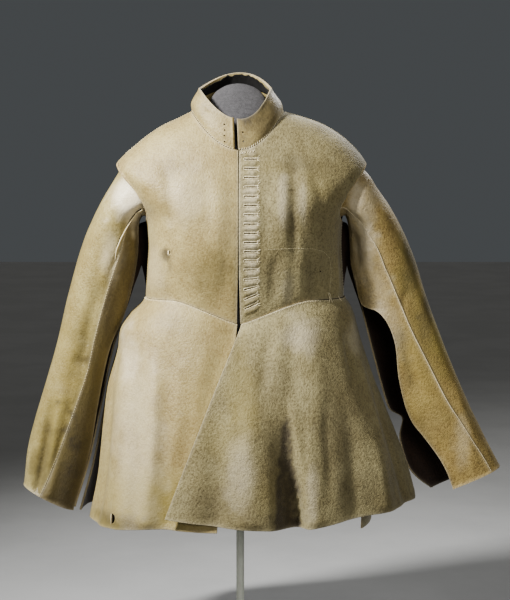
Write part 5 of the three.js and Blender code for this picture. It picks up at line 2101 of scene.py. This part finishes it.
SKIRT_FRONT_LEFT_RELIEF = Relief(
    creases={
        View.FRONT: [
            (30, -60, 8, -560, 24, 30, -5.0), (-32, -120, -52, -520, 18, 18, 3.0),
            (80, -130, 110, -480, 34, 7, 8.5), (124, -170, 150, -560, 8, 24, -4.0),
            (192, -30, 210, -160, 6, 6, 3.4), (208, 0, 296, -470, 14, 12, -4.5),
            (156, -150, 164, -370, 10, 10, 2.8), (120, 10, 152, -240, 22, 20, -3.0),
            (98, 0, 94, -190, 15, 14, 2.6), (60, -10, 34, -190, 12, 13, 2.2),
            (196, -170, 216, -440, 12, 14, 3.2),
        ],
        View.LEFT: [(-60, -40, -100, -480, 12, 12, 3.5), (-26, -20, -46, -480, 12, 12, -3.0)],
    },
    soil_and_shade={
        View.FRONT: [
            # The first three rows darken the deep fold's valley: painted shade.
            (86, -250, 12, 80, 1.3), (86, -350, 22, 100, 1.9), (82, -410, 30, 60, 1.6),
            (64, -130, 40, 60, 0.2), (16, -130, 30, 90, 0.25), (-60, -345, 60, 40, 0.3),
            (185, -240, 50, 110, 0.25), (250, -330, 60, 60, 0.22), (30, -375, 60, 20, 0.25),
        ],
    },
    wear={
        View.FRONT: [
            (112, -50, 44, 36, 0.3), (2, -290, 34, 80, 0.25), (215, -60, 20, 40, 0.3),
            (132, -330, 14, 80, 0.25),
        ],
    },
    gold={
        View.FRONT: [(8, -150, 36, 100, 0.45), (-30, -230, 40, 60, 0.25), (60, -330, 40, 50, 0.15)],
    },
    wave=0.7, seed=23,
)
SKIRT_BACK_RELIEF = Relief(
    creases={
        View.BACK: [
            (-150, -30, -190, -480, 15, 12, 4.0), (-105, -20, -128, -480, 17, 15, -4.0),
            (-60, -60, -74, -480, 12, 15, 3.5), (50, -40, 62, -480, 15, 13, -3.5),
            (98, -30, 118, -480, 13, 16, 4.0), (150, -40, 182, -480, 16, 12, -3.5),
            (16, -120, 20, -480, 10, 12, 2.6),
        ],
        View.RIGHT: [(46, -40, 76, -480, 12, 12, 3.5)],
        View.LEFT: [(40, -40, 60, -480, 12, 12, 3.5)],
    },
    soil_and_shade={
        View.BACK: [(-160, -380, 90, 26, 0.5), (120, -385, 110, 24, 0.45), (60, -200, 50, 80, 0.2)],
    },
    wear={View.BACK: [(-110, -200, 26, 150, 0.35), (52, -220, 24, 150, 0.3)]},
    gold={View.BACK: [(-60, -120, 60, 80, 0.25), (150, -380, 80, 20, 0.6)]},
    wave=0.8, seed=29,
)
SLEEVE_RIGHT_RELIEF = Relief(
    creases={
        View.FRONT: [
            (-246, 70, -330, -190, 11, 10, 2.4), (-350, -140, -411, -530, 7, 7, 6.5),
            (-321, -120, -394, -530, 9, 11, -5.5), (-306, -52, -268, -84, 8, 8, 2.4),
            (-316, -100, -282, -122, 8, 7, 2.0), (-236, 120, -262, 10, 10, 12, -2.0),
            (-286, -60, -300, -150, 7, 8, 2.0), (-178, 190, -214, 128, 3, 12, 4.0),
            (-208, 140, -240, 58, 3, 10, 3.4),
        ],
        View.BACK: [
            (-262, 90, -330, -170, 12, 11, 3.2), (-316, -20, -276, -60, 8, 8, 3.0),
            (-330, -180, -380, -420, 10, 12, 4.0),
        ],
        View.RIGHT: [(10, 60, -6, -300, 10, 12, 3.0)],
    },
    soil_and_shade={
        View.FRONT: [
            # The rows from (-192, 150) to (-312, -350) darken the sleeve's inner side down from the
            # armpit: painted shade.
            (-309, -136, 24, 16, 0.22), (-330, -168, 18, 12, 0.2), (-300, -60, 22, 50, 0.2),
            (-352, -310, 50, 120, 0.26), (-270, 40, 20, 40, 0.15), (-192, 150, 16, 26, 0.5),
            (-214, 80, 12, 50, 0.4), (-244, -60, 16, 80, 0.5), (-264, -150, 24, 110, 0.4),
            (-288, -250, 36, 130, 0.4), (-312, -350, 44, 130, 0.4), (-344, -340, 66, 120, 0.28),
        ],
        View.BACK: [(-320, -120, 40, 60, 0.3)],
    },
    # (-205, 185) is the sleeve top's highlight, painted pale.
    wear={View.FRONT: [(-205, 185, 40, 55, 0.9), (-240, 90, 26, 60, 0.3)]},
    gold={View.FRONT: [(-300, -110, 60, 130, 0.4), (-350, -270, 55, 130, 0.6)]},
    wave=0.5, seed=31,
)
SLEEVE_LEFT_RELIEF = Relief(
    creases={
        View.FRONT: [
            (254, 290, 204, 110, 9, 26, -5.5), (208, 150, 226, 52, 6, 7, 5.0),
            (203, 190, 214, 70, 6, 6, -2.5), (286, 110, 372, -130, 15, 14, 2.6),
            (298, -40, 346, -200, 12, 10, 3.2), (232, 60, 262, -30, 9, 10, 2.8),
            (402, -140, 454, -330, 10, 12, -2.6), (330, -190, 392, -330, 14, 13, 2.6),
            (318, 30, 296, -20, 9, 8, 2.2),
        ],
        View.BACK: [
            (280, 90, 360, -170, 12, 11, 3.2), (330, -20, 290, -60, 8, 8, 3.0),
            (370, -160, 430, -360, 10, 12, 3.5),
        ],
        View.LEFT: [(8, 60, -8, -300, 10, 12, 3.0)],
    },
    soil_and_shade={
        View.FRONT: [
            (322, 70, 22, 90, 0.4), (352, -20, 18, 70, 0.45), (298, -66, 18, 26, 0.3),
            (312, -150, 20, 40, 0.3), (222, 90, 14, 40, 0.3), (360, -230, 36, 40, 0.22),
        ],
        View.LEFT: [(0, 40, 40, 120, 0.4), (-10, -200, 40, 90, 0.3)],
        View.BACK: [(320, -60, 40, 90, 0.35)],
    },
    wear={
        View.FRONT: [
            # (230, 176) and (212, 206) lighten the sleeve's head below the armhole's edge: painted
            # light over its shade.
            (230, 176, 36, 80, 0.3), (212, 206, 18, 44, 0.35), (224, 90, 34, 90, 0.26),
            (250, 20, 36, 90, 0.26), (284, -50, 34, 70, 0.2), (420, -260, 20, 60, 0.2),
        ],
    },
    gold={
        View.FRONT: [(350, -60, 70, 250, 0.45), (310, 60, 30, 80, 0.35)],
        View.LEFT: [(0, -60, 60, 260, 0.5)],
    },
    wave=0.6, seed=37,
)
RIGHT_SECTIONS = table(SLEEVE_COLUMNS, [
    (60, 227, 164, 42, 33, 3, 60, 52, 2), (135, 245, 98, 53, 16, 4, 55, 50, 2.1),
    (230, 269, 5, 57, 15, 2, 52, 48, 2.1), (323, 294.5, -86, 54, 15, -2, 48, 46, 2.1),
    (430, 321, -192, 58, 15, -8, 46, 44, 2.1), (530, 345, -292, 61, 18, -16, 43, 42, 2.1),
    (612, 363, -374, 55, 27, -24, 40, 38, 2.1),
])
RIGHT_EDGES = table(SLEEVE_EDGES, [
    (0, -32, -66, 262), (65, -35, -76, 258), (170, -20, -84, 254), (240, -16, -78, 252),
    (300, -18, -62, 252), (360, -20, -60, 253), (430, -13, -62, 254), (490, -6, -67, 253),
    (565, 4, -66, 251), (612, 15, -66, 250),
])
LEFT_SECTIONS = table(SLEEVE_COLUMNS, [
    (60, 246, 152, 45, 28, 4, 60, 54, 2.1), (135, 268, 76, 60, 17, 6, 56, 54, 2.4),
    (230, 291, -4, 63, 15, 6, 54, 54, 2.7), (300, 313, -74, 67, 16, 4, 52, 54, 2.8),
    (400, 344, -165, 72, 21, 0, 50, 52, 2.7), (525, 391, -284, 79, 24, -10, 46, 48, 2.4),
    (600, 421, -345, 80, 22, -18, 42, 44, 2.3),
])
LEFT_EDGES = table(SLEEVE_EDGES, [
    (0, -36, -66, 258), (60, -23, -76, 256), (110, -4, -78, 252), (155, 0, -68, 248),
    (215, 3, -66, 246), (234, 4, -27, 246), (285, 7, -12, 246), (365, 15, -23, 250),
    (420, 20, -28, 250), (450, 24, -26, 219), (480, 30, -18, 246), (525, 37, -10, 256),
    (560, 42, -9, 243), (600, 44, -12, 222),
])


# ---- studio ----------------------------------------------------------------------------------


def aimed(place: tuple[float, float, float], aim: tuple[float, float, float]) -> Euler:
    """The turn that points a lamp or camera at its aim."""
    return (Vector(aim) - Vector(place)).to_track_quat("-Z", "Y").to_euler()


@dataclass(frozen=True)
class Lamp:
    """A soft area light: where it hangs, its aim, its size, its power and its cone in degrees."""

    name: str
    place: tuple[float, float, float]
    aim: tuple[float, float, float]
    size: float
    power: float
    spread: float
    color: tuple[float, float, float] = (1.0, 1.0, 1.0)

    def hang(self) -> None:
        """Adds the light to the scene."""
        data = bpy.data.lights.new(self.name, "AREA")
        data.shape, data.size, data.energy, data.color = "DISK", self.size, self.power, self.color
        data.spread = math.radians(self.spread)
        lamp = bpy.data.objects.new(self.name, data)
        lamp.location = self.place
        lamp.rotation_euler = aimed(self.place, self.aim)
        bpy.context.scene.collection.objects.link(lamp)


@dataclass
class Studio:
    """A pale floor, a soft key light from the upper left with a fill, and the camera."""

    palette: Palette
    camera_place: tuple[float, float, float] = (0.0285, -2.9836, 0.9686)
    camera_aim: tuple[float, float, float] = (0.0285, 0.0, 0.655)
    lens: float = 94.74
    floor_reach: float = 9000.0
    seen_air: float = 0.085
    lit_air: float = 0.16
    lamps: tuple[Lamp, ...] = (
        Lamp("key", (-2.15, -1.3, 2.7), (0.0, 0.0, 0.66), 0.5, 18.5, 50.0, (1.0, 0.985, 0.95)),
        Lamp("fill", (0.9, -3.2, 1.5), (0.0, 0.0, 0.66), 1.2, 2.5, 50.0, (1.0, 0.98, 0.95)),
        Lamp("back", (1.6, 2.3, 2.4), (0.0, 0.0, 0.66), 1.0, 5.0, 50.0),
    )

    def build(self) -> None:
        """Builds the floor, the lights and the camera."""
        corners = np.array([(-1, -1, 0), (1, -1, 0), (1, 1, 0), (-1, 1, 0)], float)
        points = self.floor_reach * corners
        floor = make_piece("floor", points, [[0, 1, 2, 3]], [self.palette["floor"]])
        floor.visible_diffuse = False
        for lamp in self.lamps:
            lamp.hang()
        scene = bpy.context.scene
        scene.view_settings.look = "AgX - Medium High Contrast"
        world = bpy.data.worlds.new("studio air")
        world.use_nodes = True
        graph = Graph(world.node_tree)
        seen = graph.add("Background", {"Color": (0.9, 0.96, 1.0, 1.0), "Strength": self.seen_air})
        lit = graph.add("Background", {"Color": (1.0, 0.99, 0.95, 1.0), "Strength": self.lit_air})
        share = graph.add("LightPath").outputs["Is Camera Ray"]
        both = graph.add("MixShader", {0: share, 1: lit.outputs[0], 2: seen.outputs[0]})
        graph.add("OutputWorld", {"Surface": both.outputs[0]})
        scene.world = world
        data = bpy.data.cameras.new("camera")
        data.lens = self.lens
        data.sensor_width = 36.0
        camera = bpy.data.objects.new("camera", data)
        camera.location = self.camera_place
        camera.rotation_euler = aimed(self.camera_place, self.camera_aim)
        scene.collection.objects.link(camera)
        scene.camera = camera


SLEEVES = {
    "right": (RIGHT_SECTIONS, RIGHT_EDGES, SLEEVE_RIGHT_RELIEF),
    "left": (LEFT_SECTIONS, LEFT_EDGES, SLEEVE_LEFT_RELIEF),
}


def declare_sheets(panels: Made, form: Piece) -> None:
    """Logs each leather piece's cut: its flat width and length, and its area."""
    for node, (panel, piece) in panels.items():
        flat, area = panel.flat_size()
        on_form = node.startswith(("body", "collar"))
        front = "body_front_left" if "left" in node else "body_front_right"
        upper = "body_back" if "back" in node else front
        rests = [form] if on_form else [panels[upper][1]]
        LOG.info("%s: cut %.3f by %.3f m, %.4f square metres", node, *flat, area)


def main() -> None:
    """Builds the coat from the form outwards, then the stand, the thread and the studio."""
    logging.basicConfig(level=logging.INFO, format="%(name)s: %(message)s")
    palette = Palette()
    form = DressForm(palette).build()
    Stand(palette).build()
    panels = Body(palette).build()
    panels.update(Collar(palette).build())
    panels.update(Skirts(palette).build())
    for side, shape in SLEEVES.items():
        panels.update(Sleeve(side, *shape, palette).build())
    WorkedSlits(palette, panels["body_front_left"][0]).build()
    Stitching(palette, panels).build()
    chest, hem = panels["body_front_right"][0].surface, panels["skirt_front_right"][0].surface
    flaps = {
        "chest_tear": Flap(CHEST_TEAR, chest, (0, 9), 0.6, 0.8, palette),
        "hem_flap": Flap(HEM_RIP, hem, (-1, 0), 0.55, 1.3, palette),
    }
    for name, flap in flaps.items():
        settle(flap.build(name), [], "leather_body")
    # A dark patch behind the rip: painted shade seen through it.
    settle(flaps["hem_flap"].shade_behind("hem_rip_shade"), [], "lining")
    for side, sign in (("right", -1), ("left", 1)):
        sleeve, sleeve_piece = panels[f"sleeve_{side}_main"]
        web, flat, area = Underarm(palette, sleeve, sign).build()
        settle(web, [], "leather_body")
        panels["body_back"][1]
        LOG.info("underarm_%s: cut %.3f by %.3f m, %.4f square metres", side, *flat, area)
    declare_sheets(panels, form)
    Studio(palette).build()


if __name__ == "__main__":
    main()
